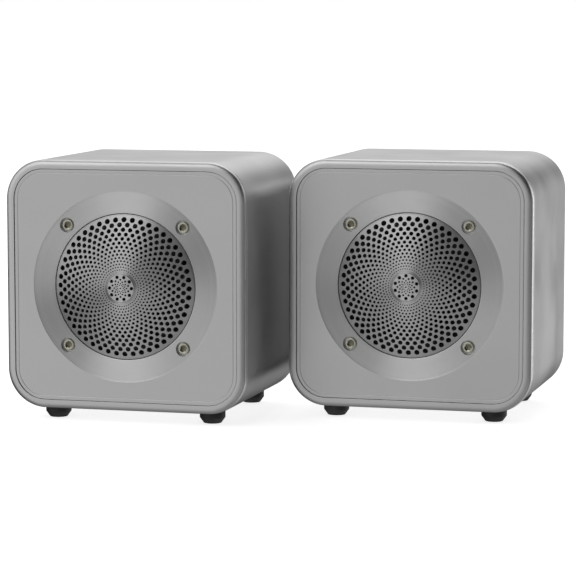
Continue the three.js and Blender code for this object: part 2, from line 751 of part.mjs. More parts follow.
function speakerPair() {
  const pair = new THREE.Group();
  const left = speaker("left", false);
  const right = speaker("right", true);
  right.add(controls());
  right.position.set(RIGHT_SHIFT, RIGHT_SETBACK, 0);
  pair.add(left, right);
  const domeFront = GRILLE_RIM - GRILLE_RISE;
  const knobBack = RIGHT_SETBACK + KNOB_FRONT + KNOB_LENGTH;
  pair.position.set(-RIGHT_SHIFT / 2, -(domeFront + knobBack) / 2, 0);
  return pair;
}

export default speakerPair();
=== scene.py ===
"""Looks of a pair of satin aluminium cube speakers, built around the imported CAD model.

Shapes are written in millimetres in a frame of each cabinet: X across from its axis, Y back from
the front of its bezel, Z up from its axis. make() puts them in the row frame, in metres.
"""
import math
import random

import bmesh
import bpy
import numpy as np
from mathutils import Euler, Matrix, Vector, noise


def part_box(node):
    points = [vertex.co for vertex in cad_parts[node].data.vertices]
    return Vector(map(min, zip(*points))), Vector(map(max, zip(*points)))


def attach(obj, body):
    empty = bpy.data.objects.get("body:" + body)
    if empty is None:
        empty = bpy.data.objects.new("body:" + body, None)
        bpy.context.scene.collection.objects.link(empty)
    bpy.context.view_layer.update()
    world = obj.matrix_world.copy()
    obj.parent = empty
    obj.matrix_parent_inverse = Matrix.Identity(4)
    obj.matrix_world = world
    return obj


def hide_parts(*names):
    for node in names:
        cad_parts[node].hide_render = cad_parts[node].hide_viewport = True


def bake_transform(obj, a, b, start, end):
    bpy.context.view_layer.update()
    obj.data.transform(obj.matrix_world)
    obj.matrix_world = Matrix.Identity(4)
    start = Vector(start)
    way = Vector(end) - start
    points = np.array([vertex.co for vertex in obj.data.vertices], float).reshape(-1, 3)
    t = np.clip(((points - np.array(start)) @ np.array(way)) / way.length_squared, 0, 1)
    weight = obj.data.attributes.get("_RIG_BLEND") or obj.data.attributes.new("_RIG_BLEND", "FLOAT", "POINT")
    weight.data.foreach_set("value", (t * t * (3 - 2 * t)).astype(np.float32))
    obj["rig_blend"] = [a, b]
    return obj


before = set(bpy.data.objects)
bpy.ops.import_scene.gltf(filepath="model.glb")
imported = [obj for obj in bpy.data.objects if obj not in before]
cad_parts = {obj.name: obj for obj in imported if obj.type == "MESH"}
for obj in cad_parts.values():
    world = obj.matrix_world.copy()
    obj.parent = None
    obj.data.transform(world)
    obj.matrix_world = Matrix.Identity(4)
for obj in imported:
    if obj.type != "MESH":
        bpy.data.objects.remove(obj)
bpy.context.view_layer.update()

MM = 0.001
TURN = 2 * math.pi
SIDES = ("left", "right")
COLLECTION = bpy.context.scene.collection

# ---------------------------------------------------------------- places, from the CAD boxes

# A cabinet's own origin: on its axis, at the front of its bezel.
ORIGIN = {}
for side in SIDES:
    bezel_lo, bezel_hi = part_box(f"{side}_front_bezel")
    ORIGIN[side] = Vector(
        ((bezel_lo.x + bezel_hi.x) / 2, bezel_lo.y, (bezel_lo.z + bezel_hi.z) / 2)
    )


def local(side, node):
    """Middle of a CAD node in millimetres, in its cabinet's own frame."""
    lo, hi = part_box(f"{side}_{node}")
    return ((lo + hi) / 2 - ORIGIN[side]) / MM


# ---------------------------------------------------------------- camera

CAMERA_PLACE = Vector((0.3439, -1.28105, 0.2066))
CAMERA_HEADING = (-0.2614, 0.9652)
CAMERA_PITCH = math.radians(-6.31)
camera_data = bpy.data.cameras.new("photo_camera")
camera_data.lens = 168.18
camera_data.sensor_width = 36
camera_data.clip_start = 0.05
camera_data.clip_end = 60
camera = bpy.data.objects.new("photo_camera", camera_data)
COLLECTION.objects.link(camera)
camera.location = CAMERA_PLACE
look = Vector(
    (
        CAMERA_HEADING[0] * math.cos(CAMERA_PITCH),
        CAMERA_HEADING[1] * math.cos(CAMERA_PITCH),
        math.sin(CAMERA_PITCH),
    )
)
camera.rotation_euler = look.to_track_quat("-Z", "Y").to_euler()
bpy.context.scene.camera = camera
bpy.context.scene.view_settings.view_transform = "Standard"

# ---------------------------------------------------------------- shapes


class Shape:
    """Points in millimetres, faces as point numbers, and a material number for each face."""

    def __init__(self, points, faces, slot=0):
        self.points = np.asarray(points, float).reshape(-1, 3)
        self.faces = [tuple(f) for f in faces]
        self.slots = [slot] * len(self.faces) if isinstance(slot, int) else list(slot)

    def __add__(self, other):
        count = len(self.points)
        faces = self.faces + [tuple(i + count for i in f) for f in other.faces]
        return Shape(np.vstack([self.points, other.points]), faces, self.slots + other.slots)

    def moved(self, x=0.0, y=0.0, z=0.0):
        return Shape(self.points + np.array((x, y, z)), self.faces, self.slots)

    def in_row(self, x, above=0.0):
        """Moved from the cabinet's axis to a place in the row of sockets."""
        return self.moved(x, 0, ROW + above)

    def rotated(self, x=0.0, y=0.0):
        """Turned about the axes by these degrees, X first."""
        matrix = Euler([math.radians(a) for a in (x, y, 0.0)]).to_matrix()
        return Shape(self.points @ np.array(matrix).T, self.faces, self.slots)

    def painted(self, slot):
        return Shape(self.points, self.faces, slot)


def joined(shapes):
    total = shapes[0]
    for shape in shapes[1:]:
        total = total + shape
    return total


def rounded(profile, radius, steps=3, closed=True, guard=0.5):
    """The profile with its corners rounded. A corner may carry its own radius as a third number.
    A guard point beside each arc keeps edge wear close to the edge."""
    count = len(profile)
    out = []
    for i, corner in enumerate(profile):
        here = np.array(corner[:2], float)
        own = corner[2] if len(corner) > 2 else radius
        if own <= 0 or (not closed and i in (0, count - 1)):
            out.append(tuple(here))
            continue
        before = np.array(profile[i - 1][:2], float) - here
        after = np.array(profile[(i + 1) % count][:2], float) - here
        long_before, long_after = np.linalg.norm(before), np.linalg.norm(after)
        before, after = before / long_before, after / long_after
        angle = math.acos(max(-1.0, min(1.0, float(before @ after))))
        if angle > math.pi - 0.02:
            out.append(tuple(here))
            continue
        reach = min(own / math.tan(angle / 2), 0.45 * long_before, 0.45 * long_after)
        arc = reach * math.tan(angle / 2)
        middle = (before + after) / np.linalg.norm(before + after)
        centre = here + middle * arc / math.sin(angle / 2)
        first, last = here + before * reach, here + after * reach
        start = math.atan2(*(first - centre)[::-1])
        sweep = (math.atan2(*(last - centre)[::-1]) - start + math.pi) % TURN - math.pi
        if guard and long_before > 2 * (reach + guard) + 0.2:
            out.append(tuple(here + before * (reach + guard)))
        for k in range(steps + 1):
            a = start + sweep * k / steps
            out.append((centre[0] + arc * math.cos(a), centre[1] + arc * math.sin(a)))
        if guard and long_after > 2 * (reach + guard) + 0.2:
            out.append(tuple(here + after * (reach + guard)))
    return out


def strip(a, b):
    """Faces between two rings of point numbers of the same count, or a ring and one point."""
    if len(a) == 1 and len(b) == 1:
        return []
    if len(a) == 1:
        return [(a[0], b[i], b[(i + 1) % len(b)]) for i in range(len(b))]
    if len(b) == 1:
        return [(a[i], b[0], a[(i + 1) % len(a)]) for i in range(len(a))]
    count = len(a)
    return [(a[i], b[i], b[(i + 1) % count], a[(i + 1) % count]) for i in range(count)]


def stitch(a, b, points):
    """Triangles between two rings of different counts, in order of their angle about the axis."""

    def angle(i):
        return math.atan2(points[i][2], points[i][0]) % TURN

    a, b = sorted(a, key=angle), sorted(b, key=angle)
    turn_a = [angle(i) for i in a] + [angle(a[0]) + TURN]
    turn_b = [angle(i) for i in b] + [angle(b[0]) + TURN]
    i = j = 0
    faces = []
    while i < len(a) or j < len(b):
        on_a = j >= len(b) or (i < len(a) and turn_a[i + 1] <= turn_b[j + 1])
        if on_a:
            faces.append((a[i % len(a)], a[(i + 1) % len(a)], b[j % len(b)]))
            i += 1
        else:
            faces.append((a[i % len(a)], b[(j + 1) % len(b)], b[j % len(b)]))
            j += 1
    return faces


def rings(loops, closed=False, caps=False, slots=None):
    """A shape through loops of points of the same count. A loop of one point closes an end."""
    points, numbers = [], []
    for loop in loops:
        numbers.append(list(range(len(points), len(points) + len(loop))))
        points += [tuple(p) for p in loop]
    faces, paint = [], []
    pairs = list(zip(numbers, numbers[1:] + (numbers[:1] if closed else [])))
    for i, (a, b) in enumerate(pairs if closed else pairs[: len(numbers) - 1]):
        made = strip(a, b)
        faces += made
        paint += [slots[i] if slots else 0] * len(made)
    if caps:
        faces += [tuple(numbers[0]), tuple(reversed(numbers[-1]))]
        paint += [slots[0], slots[-1]] if slots else [0, 0]
    return Shape(points, faces, paint)


def loop_about(depth, count, radius_at):
    """A loop of points about the axis, whose radius is a function of the angle."""
    angles = [TURN * k / count for k in range(count)]
    return [(radius_at(a) * math.cos(a), depth, radius_at(a) * math.sin(a)) for a in angles]


def turned(profile, count=96, closed=False, slots=None, wave=None):
    """A profile of (radius, depth) turned about Y. wave(i, angle) changes ring i's radius."""
    loops = []
    for i, (radius, depth) in enumerate(profile):
        if radius < 1e-6:
            loops.append([(0.0, depth, 0.0)])
        else:
            around = lambda a, i=i, r=radius: r + (wave(i, a) if wave else 0.0)
            loops.append(loop_about(depth, count, around))
    return rings(loops, closed=closed, slots=slots)


def square_loop(half_x, half_z, radius, depth, steps, flat=1):
    """A rectangle with round corners, as a loop of points at one depth. Each straight side is in
    this many parts."""
    loop = []
    radius = max(radius, 0.01)
    for corner, (sx, sz) in enumerate(((1, 1), (-1, 1), (-1, -1), (1, -1))):
        for k in range(steps + 1):
            a = TURN / 4 * (corner + k / steps)
            x = sx * (half_x - radius) + radius * math.cos(a)
            z = sz * (half_z - radius) + radius * math.sin(a)
            loop.append((x, depth, z))
        along_x = corner % 2 == 0
        for k in range(1, flat):
            t = 1 - 2 * k / flat
            if along_x:
                loop.append((sx * (half_x - radius) * t, depth, loop[-1][2]))
            else:
                loop.append((loop[-1][0], depth, sz * (half_z - radius) * t))
    return loop


def lofted(profile, half_x, half_z, radius, steps=12, flat=1, closed=True, caps=False, slots=None):
    """A profile of (offset, depth) swept round a rectangle with round corners."""
    loops = [
        square_loop(half_x + o, half_z + o, radius + o, depth, steps, flat) for o, depth in profile
    ]
    return rings(loops, closed=closed, caps=caps, slots=slots)


def block(half_x, half_z, radius, front, back, edge=0.3, steps=4):
    """A solid with round corners and rounded edges."""
    profile = rounded(
        [(-2 * edge - 0.1, front), (0, front), (0, back), (-2 * edge - 0.1, back)],
        edge, closed=False, guard=0,
    )
    return lofted(profile, half_x, half_z, max(radius, 2 * edge + 0.15), steps, closed=False, caps=True)


def swept(route, radius, count=10, ends=True):
    """A tube along a list of points."""
    route = [Vector(p) for p in route]
    tangents = [
        (route[min(i + 1, len(route) - 1)] - route[max(i - 1, 0)]).normalized()
        for i in range(len(route))
    ]
    across = tangents[0].orthogonal().normalized()
    loops = []
    for point, tangent in zip(route, tangents):
        across = (across - tangent * across.dot(tangent)).normalized()
        other = tangent.cross(across)
        loops.append(
            [
                point + radius * (math.cos(a) * across + math.sin(a) * other)
                for a in (TURN * k / count for k in range(count))
            ]
        )
    return rings(loops, caps=ends)


def smooth_route(points, steps=6):
    """A smooth curve through points, as a longer list of points."""
    padded = [points[0], *points, points[-1]]
    out = []
    for i in range(len(points) - 1):
        a, b, c, d = (Vector(p) for p in padded[i : i + 4])
        for k in range(steps):
            t = k / steps
            out.append(
                0.5 * (2 * b + (c - a) * t + (2 * a - 5 * b + 4 * c - d) * t**2
                       + (3 * b - 3 * c + d - a) * t**3)
            )
    out.append(Vector(points[-1]))
    return out


# ---------------------------------------------------------------- pieces


def new_object(name, shape, centre=(0, 0, 0)):
    mesh = bpy.data.meshes.new(name)
    points = shape.points * MM + np.array(centre)
    mesh.from_pydata(points.tolist(), [], shape.faces)
    mesh.polygons.foreach_set("material_index", shape.slots)
    work = bmesh.new()
    work.from_mesh(mesh)
    bmesh.ops.remove_doubles(work, verts=work.verts, dist=2e-7)
    bmesh.ops.recalc_face_normals(work, faces=work.faces)
    work.to_mesh(mesh)
    work.free()
    piece = bpy.data.objects.new(name, mesh)
    COLLECTION.objects.link(piece)
    return piece


def mark_edges(mesh):
    """Stores at each point how sharply the surface turns there: materials wear edges with it."""
    work = bmesh.new()
    work.from_mesh(mesh)
    values = []
    for vert in work.verts:
        angles = [abs(e.calc_face_angle(0.0)) for e in vert.link_edges if e.is_manifold]
        t = (max(angles, default=0.0) - 0.14) / 0.3
        values.append(max(0.0, min(1.0, t)))
    work.free()
    attribute = mesh.attributes.new("wear", "FLOAT", "POINT")
    attribute.data.foreach_set("value", values)


def cut(piece, tools, centre):
    """Takes the tools' shapes out of a piece. The tools may not overlap each other."""
    cutter = new_object(piece.name + "_cutter", joined(tools), centre)
    modifier = piece.modifiers.new("cut", "BOOLEAN")
    modifier.operation = "DIFFERENCE"
    modifier.solver = "EXACT"
    modifier.object = cutter
    bpy.context.view_layer.update()
    graph = bpy.context.evaluated_depsgraph_get()
    mesh = bpy.data.meshes.new_from_object(piece.evaluated_get(graph))
    piece.modifiers.clear()
    old = piece.data
    piece.data = mesh
    bpy.data.meshes.remove(old)
    mesh.name = piece.name
    bpy.data.objects.remove(cutter)


def smooth(piece, sharp):
    """Smooth faces, with edges sharper than this many degrees kept sharp."""
    piece.data.shade_smooth()
    piece.data.set_sharp_from_angle(angle=math.radians(sharp))


def make(name, shape, materials, body, centre, stands_for=(), slot=None, sharp=32, tools=()):
    """A finished piece: its mesh in the row frame, its materials, the body that it rides on and
    the CAD nodes that it stands for."""
    piece = new_object(name, shape, centre)
    materials = materials if isinstance(materials, (list, tuple)) else [materials]
    for material in materials:
        piece.data.materials.append(material)
    mark_edges(piece.data)
    if tools:
        cut(piece, tools, centre)
    smooth(piece, sharp)
    if body:
        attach(piece, body)
    if stands_for:
        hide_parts(*([stands_for] if isinstance(stands_for, str) else stands_for))
    return piece


# ---------------------------------------------------------------- materials


class Paint:
    """A procedural material, built from a few kinds of step."""

    def __init__(self, name, **values):
        self.material = bpy.data.materials.new(name)
        self.material.use_nodes = True
        self.nodes = self.material.node_tree.nodes
        self.links = self.material.node_tree.links
        self.shader = next(n for n in self.nodes if n.type == "BSDF_PRINCIPLED")
        for key, value in values.items():
            self.shader.inputs[key.replace("_", " ")].default_value = value

    def add(self, kind, **inputs):
        node = self.nodes.new(kind)
        for key, value in inputs.items():
            if hasattr(node, key) and key not in node.inputs:
                setattr(node, key, value)
                continue
            self.feed(node.inputs[int(key[1:])] if key[0] == "_" else node.inputs[key], value)
        return node

    def feed(self, socket, value):
        """Links a node's output to a socket, or sets the socket to a plain value."""
        if isinstance(value, bpy.types.NodeSocket):
            self.links.new(value, socket)
        else:
            socket.default_value = value

    def where(self, stretch=(1, 1, 1)):
        found = self.add("ShaderNodeTexCoord").outputs["Object"]
        return self.add("ShaderNodeMapping", Vector=found, Scale=stretch).outputs[0]

    def noise(self, scale, detail=3.0, stretch=(1, 1, 1), distortion=0.0):
        node = self.add(
            "ShaderNodeTexNoise",
            Vector=self.where(stretch), Scale=scale, Detail=detail, Distortion=distortion,
        )
        return node.outputs["Fac"]

    def cloud(self, scale, detail, low, high, start=0.0, end=1.0):
        """Noise stretched from its low and high values to start and end."""
        return self.ramp(self.noise(scale, detail), low, high, start, end)

    def cells(self, scale, output="Distance"):
        return self.add("ShaderNodeTexVoronoi", Vector=self.where(), Scale=scale).outputs[output]

    def ramp(self, value, low, high, start=0.0, end=1.0):
        node = self.add("ShaderNodeMapRange", Value=value)
        node.inputs["From Min"].default_value = low
        node.inputs["From Max"].default_value = high
        node.inputs["To Min"].default_value = start
        node.inputs["To Max"].default_value = end
        return node.outputs["Result"]

    def math(self, operation, a, b):
        return self.add("ShaderNodeMath", operation=operation, _0=a, _1=b).outputs[0]

    def blend(self, factor, a, b):
        node = self.nodes.new("ShaderNodeMix")
        node.data_type = "RGBA"
        for socket, value in ((node.inputs[0], factor), (node.inputs[6], a), (node.inputs[7], b)):
            self.feed(socket, (*value, 1) if isinstance(value, tuple) else value)
        return node.outputs[2]

    def wear(self, scale=900.0, amount=1.0):
        """Worn edges, broken up by noise: from 0 to 1."""
        edge = self.add("ShaderNodeAttribute", attribute_name="wear").outputs["Fac"]
        patches = self.cloud(scale, 4.0, 0.38, 0.62)
        return self.math("MULTIPLY", self.math("MULTIPLY", edge, patches), amount)

    def radius(self, width):
        """Distance in millimetres from the middle of the piece's box, across its own width."""
        found = self.add("ShaderNodeTexCoord").outputs["Generated"]
        middle = self.add("ShaderNodeVectorMath", operation="SUBTRACT", _0=found, _1=(0.5, 0.5, 0.5))
        flat = self.add(
            "ShaderNodeVectorMath", operation="MULTIPLY", _0=middle.outputs[0], _1=(width, 0, width)
        )
        length = self.add("ShaderNodeVectorMath", operation="LENGTH", _0=flat.outputs[0])
        return length.outputs["Value"]

    def colour(self, socket):
        self.links.new(socket, self.shader.inputs["Base Color"])
        return self

    def rough(self, socket):
        self.links.new(socket, self.shader.inputs["Roughness"])
        return self

    def bump(self, height, distance, strength=1.0):
        node = self.add("ShaderNodeBump", Height=height, Distance=distance, Strength=strength)
        last = self.shader.inputs["Normal"]
        if last.is_linked:
            self.links.new(last.links[0].from_socket, node.inputs["Normal"])
        self.links.new(node.outputs[0], last)
        return self

    def grooved(self, anisotropy):
        """Grooves run round the piece's middle, so gloss spreads across them."""
        self.shader.inputs["Anisotropic"].default_value = anisotropy
        self.shader.inputs["Anisotropic Rotation"].default_value = 0.25
        tangent = self.add("ShaderNodeTangent", direction_type="RADIAL", axis="Y")
        self.links.new(tangent.outputs[0], self.shader.inputs["Tangent"])
        return self


def grey(value, tint=(1.0, 1.0, 1.0)):
    return tuple(value * t for t in tint)


COOL = (0.995, 1.0, 0.995)


def satin(name, value, roughness, spread=0.03, grain=None, wear=0.5):
    """Blasted and anodised aluminium: cloudy at 20 mm, speckled at 0.3 mm, bright on worn edges."""
    p = Paint(name, Metallic=1.0)
    cloud = p.cloud(38.0, 3.0, 0.3, 0.7)
    speck = p.cloud(3600.0, 2.0, 0.25, 0.75)
    base = p.blend(cloud, grey(value - spread, COOL), grey(value + spread, COOL))
    base = p.blend(p.math("MULTIPLY", speck, 0.22), base, grey(value * 0.86, COOL))
    handled = p.cloud(14.0, 2.0, 0.55, 0.75)
    base = p.blend(p.math("MULTIPLY", handled, 0.1), base, grey(value * 0.8, (1.0, 0.99, 0.96)))
    edge = p.wear(amount=wear)
    p.colour(p.blend(edge, base, grey(min(0.95, value + 0.13))))
    shine = p.ramp(cloud, 0, 1, roughness - 0.03, roughness + 0.03)
    shine = p.math("ADD", shine, p.math("MULTIPLY", handled, 0.05))
    p.rough(p.math("SUBTRACT", shine, p.math("MULTIPLY", edge, 0.1)))
    p.bump(speck, 0.00001, 0.35)
    if grain:
        p.bump(p.noise(420.0, 3.0, grain), 0.000006, 0.3)
    return p.material


def turned_metal(name, value, roughness, anisotropy, width, pitch, depth):
    """Metal cut on a lathe: fine rings, gloss that spreads across them, faint radial clouds."""
    p = Paint(name, Metallic=1.0)
    r = p.radius(width)
    fine = p.add("ShaderNodeTexNoise", noise_dimensions="1D", W=r, Scale=pitch, Detail=3.0)
    coarse = p.add("ShaderNodeTexNoise", noise_dimensions="1D", W=r, Scale=pitch / 7, Detail=2.0)
    cloud = p.cloud(45.0, 3.0, 0.3, 0.7)
    base = p.blend(cloud, grey(value - 0.03, COOL), grey(value + 0.03, COOL))
    base = p.blend(p.ramp(fine.outputs[0], 0.35, 0.65, 0.0, 0.12), base, grey(value * 0.75, COOL))
    edge = p.wear(amount=0.5)
    p.colour(p.blend(edge, base, grey(min(0.95, value + 0.12))))
    p.rough(p.ramp(coarse.outputs[0], 0.3, 0.7, roughness - 0.03, roughness + 0.03))
    p.bump(fine.outputs[0], depth, 0.4)
    return p.grooved(anisotropy).material


def rubber(name, value, roughness=0.62, dust=0.12):
    p = Paint(name, Metallic=0.0)
    speck = p.noise(2600.0, 3.0)
    cloud = p.cloud(120.0, 3.0, 0.35, 0.7)
    base = p.blend(cloud, grey(value * 0.85), grey(value * 1.2, (1.0, 0.99, 0.97)))
    edge = p.wear(700.0, 0.5)
    base = p.blend(edge, base, grey(value * 2.2, (1.0, 0.99, 0.97)))
    dusty = p.cloud(60.0, 4.0, 0.52, 0.72, 0.0, dust)
    p.colour(p.blend(dusty, base, grey(0.18, (1.0, 0.98, 0.94))))
    p.rough(p.ramp(cloud, 0, 1, roughness - 0.06, roughness + 0.08))
    return p.bump(speck, 0.00002, 0.4).material


def moulded(name, value, roughness=0.48, texture=2200.0, depth=0.00003, tint=(1, 1, 1)):
    """Spark-eroded moulded plastic: a fine leathery texture, polished a little on its edges."""
    p = Paint(name, Metallic=0.0)
    pits = p.cells(texture)
    cloud = p.cloud(70.0, 3.0, 0.3, 0.7)
    base = p.blend(cloud, grey(value * 0.88, tint), grey(value * 1.14, tint))
    base = p.blend(p.cloud(30.0, 4.0, 0.56, 0.75, 0.0, 0.06), base, grey(0.2, (1, 0.98, 0.95)))
    edge = p.wear(800.0, 0.7)
    p.colour(p.blend(edge, base, grey(value * 2.0 + 0.01, tint)))
    shine = p.ramp(cloud, 0, 1, roughness - 0.04, roughness + 0.05)
    p.rough(p.math("SUBTRACT", shine, p.math("MULTIPLY", edge, 0.12)))
    return p.bump(pits, depth, 0.5).material


def plated(name, value, roughness, tint, stain_and_shade=(0.35, 0.27, 0.14), stain_and_shade_amount=0.25):
    """Zinc or nickel plated steel with a crystalline tint and patchy stains. On the screw socket material,
    the darker value and the heavy dark patches are painted shade, with some grime.
    """
    p = Paint(name, Metallic=1.0)
    patch = p.cells(1500.0, output="Color")
    bright = p.add("ShaderNodeSeparateColor", _0=patch).outputs[0]
    base = p.blend(bright, grey(value * 0.86, tint), grey(value * 1.08, tint))
    stain_and_shade_patches = p.cloud(700.0, 4.0, 0.5, 0.7, 0.0, stain_and_shade_amount)
    base = p.blend(stain_and_shade_patches, base, stain_and_shade)
    edge = p.wear(1600.0, 0.5)
    p.colour(p.blend(edge, base, grey(min(0.95, value * 1.2))))
    p.rough(p.cloud(900.0, 3.0, 0.3, 0.7, roughness - 0.06, roughness + 0.1))
    return p.bump(p.noise(2500.0, 2.0), 0.000008, 0.4).material


def fibrous(name, value, tint, scale, roughness=0.9, stretch=(1, 1, 1), contrast=0.3):
    """Pressed paper, cloth or fibre: tangled threads lighter and darker than the ground."""
    p = Paint(name, Metallic=0.0)
    threads = p.noise(scale, 6.0, stretch, distortion=1.5)
    tangle = p.ramp(threads, 0.35, 0.65)
    base = p.blend(tangle, grey(value * (1 - contrast), tint), grey(value * (1 + contrast), tint))
    blotch = p.cloud(90.0, 3.0, 0.4, 0.7, 0.0, 0.25)
    p.colour(p.blend(blotch, base, grey(value * 0.7, tint)))
    p.rough(p.ramp(threads, 0.3, 0.7, roughness - 0.08, roughness + 0.05))
    return p.bump(threads, 0.00006, 0.6).material


SHELL_METAL = satin("shell_satin", 0.8, 0.4)
BEZEL_METAL = satin("bezel_satin", 0.82, 0.42, wear=0.3)
FACE_METAL = satin("faceplate_satin", 0.8, 0.42, spread=0.018, grain=(0.04, 1, 1), wear=0.3)
DISH_METAL = turned_metal("faceplate_turned", 0.8, 0.4, 0.95, 111.0, 9.0, 0.000012)
GRILLE_METAL = turned_metal("grille_metal", 0.62, 0.4, 0.9, 74.6, 7.0, 0.000008)
BOSS_METAL = turned_metal("grille_boss", 0.74, 0.36, 0.6, 74.6, 9.0, 0.00001)
KNOB_METAL = turned_metal("knob_aluminium", 0.78, 0.3, 0.6, 18.0, 12.0, 0.00001)
ZINC = plated("screw_zinc", 0.68, 0.3, (1.0, 0.985, 0.8))
# Painted shade: the screw's hexagon socket and the side of its head in the counterbore are painted dark,
# partly as shade and partly as grime.
SOCKET_SHADE_AND_GRIME = plated("screw_socket", 0.34, 0.5, (1.0, 0.96, 0.72), (0.05, 0.04, 0.02), 0.6)
NICKEL = plated("plated_steel", 0.62, 0.34, (1.0, 0.99, 0.96), stain_and_shade_amount=0.1)
STEEL = plated("yoke_steel", 0.5, 0.42, (0.97, 1.0, 0.99), (0.2, 0.12, 0.07), 0.3)
FOOT_RUBBER = rubber("foot_rubber", 0.011)
SURROUND_RUBBER = rubber("surround_rubber", 0.012, 0.5, 0.05)
LEAD_RUBBER = rubber("lead_rubber", 0.014, 0.42, 0.03)
LEAD_RED = rubber("lead_red", 0.14, 0.42, 0.03)
BASKET_PAINT = moulded("basket_steel", 0.014, 0.38, 1400.0, 0.00002)
BLACK_PLASTIC = moulded("black_plastic", 0.016)
PANEL_PLASTIC = moulded("back_panel_plastic", 0.017, 0.5, 2000.0, 0.00004)
SOCKET_PLASTIC = moulded("socket_plastic", 0.013, 0.35, 3000.0, 0.00001)
SWITCH_PLASTIC = moulded("switch_plastic", 0.014, 0.4, 2600.0, 0.000015)
ROCKER_PLASTIC = moulded("rocker_plastic", 0.016, 0.3, 2600.0, 0.00001)
MARKING = moulded("marking_white", 0.62, 0.5, 3000.0, 0.000005)
FERRITE = moulded("ferrite", 0.03, 0.62, 1100.0, 0.00005, (1.0, 0.98, 0.97))
CONE_PAPER = fibrous("cone_paper", 0.012, (1.0, 1.0, 1.02), 900.0)
CAP_PAPER = fibrous("dust_cap_paper", 0.014, (1.0, 1.0, 1.02), 1600.0, 0.75)
SPIDER_CLOTH = fibrous("spider_cloth", 0.36, (1.0, 0.68, 0.32), 1900.0)
WADDING_FIBRE = fibrous("wadding_fibre", 0.72, (1.0, 0.99, 0.95), 1300.0, contrast=0.18)


def copper_winding():
    """Enamelled copper wire, one turn beside the next."""
    p = Paint("coil_copper", Metallic=1.0)
    turns = p.add("ShaderNodeTexWave", Vector=p.where(), Scale=1300.0, Distortion=0.4)
    turns.bands_direction = "Y"
    base = p.blend(turns.outputs["Fac"], (0.42, 0.16, 0.07), (0.86, 0.42, 0.22))
    p.colour(p.blend(p.cloud(400.0, 3.0, 0.5, 0.7, 0.0, 0.3), base, (0.3, 0.1, 0.05)))
    p.rough(p.cloud(600.0, 3.0, 0.3, 0.7, 0.25, 0.4))
    return p.bump(turns.outputs["Fac"], 0.00004, 0.8).material


def circuit_board():
    """Green solder mask over traces, with tinned pads."""
    p = Paint("circuit_board", Metallic=0.0)
    tracks = p.add("ShaderNodeTexBrick", Vector=p.where((1, 0, 1)), Scale=160.0)
    tracks.inputs["Mortar Size"].default_value = 0.07
    cloud = p.cloud(60.0, 3.0, 0.3, 0.7)
    mask = p.blend(cloud, (0.006, 0.07, 0.028), (0.01, 0.11, 0.045))
    copper = p.blend(cloud, (0.03, 0.17, 0.06), (0.045, 0.2, 0.075))
    base = p.blend(tracks.outputs["Fac"], mask, copper)
    pads = p.ramp(p.cells(420.0), 0.14, 0.1, 0.0, 1.0)
    p.colour(p.blend(pads, base, (0.6, 0.6, 0.58)))
    p.rough(p.cloud(500.0, 3.0, 0.3, 0.7, 0.3, 0.42))
    return p.bump(tracks.outputs["Fac"], 0.00003, 0.6).material


COPPER = copper_winding()
BOARD = circuit_board()

# ---------------------------------------------------------------- cabinet

HALF = 60.0  # half the cabinet's width
CORNER = 19.0
WALL = 2.5
DEPTH = 93.0
SHELL_FRONT = 3.6
BEZEL_WIDTH = 4.2
BEZEL_DEPTH = 3.1
PLATE_HALF = 55.62
GROOVE = 1.75  # distance of the plate's fine groove from its edge
PLATE_CORNER = 14.5
PLATE_FRONT = 0.4
PLATE_BACK = 4.4
DISH_RADIUS = 45.9
DISH_DEPTH = 0.52
DISH_INNER_DEPTH = 0.85
SCREW_PLACES = ((-28.9, 28.9), (28.9, 28.9), (28.9, -28.9), (-28.9, -28.9))


def screw_holes(front, back):
    """Tools for the holes that the four front screws go through."""
    hole = turned([(0, front), (1.8, front), (1.8, back), (0, back)], 24)
    return [hole.moved(x, 0, z) for x, z in SCREW_PLACES]


def bridged(outer, inner, across, around, front_last=False):
    """Joins an outer wall and a hole's wall by a flat ring at the front and one at the back.
    The walls' loops have this many points. A hole's wall is drawn from front to back."""
    whole = outer + inner
    start, end = len(outer.points), len(whole.points)
    front, back = range(across), range(start - across, start)
    if front_last:
        front, back = back, front
    faces = stitch(front, range(start, start + around), whole.points)
    faces += stitch(back, range(end - around, end), whole.points)
    return Shape(whole.points, whole.faces + faces, whole.slots + [0] * len(faces))


def shell():
    profile = rounded(
        [(0, SHELL_FRONT, 0.3), (0, DEPTH, 0.5), (-WALL, DEPTH, 0.3), (-WALL, SHELL_FRONT, 0.15)],
        0.3, guard=0.6,
    )
    return lofted(profile, HALF, HALF, CORNER, 24)


def bezel():
    """A full, squarish quarter round in front, a sharp inner edge, and a tongue inside the shell."""
    front, steps, fullness = [], 18, 2.8
    for k in range(steps + 1):
        t = k / steps * math.pi / 2
        across, deep = math.cos(t) ** (2 / fullness), math.sin(t) ** (2 / fullness)
        front.append((-4.0 * (1 - across), BEZEL_DEPTH * (1 - deep), 0))
    outline = [
        (0, BEZEL_DEPTH, 0.12), *front[1:], (-BEZEL_WIDTH, 0, 0.12),
        (-BEZEL_WIDTH, 8, 0.1), (-BEZEL_WIDTH + 1.2, 8, 0.1), (-BEZEL_WIDTH + 1.2, BEZEL_DEPTH, 0),
    ]
    return lofted(rounded(outline, 0, guard=0), HALF, HALF, CORNER, 24)


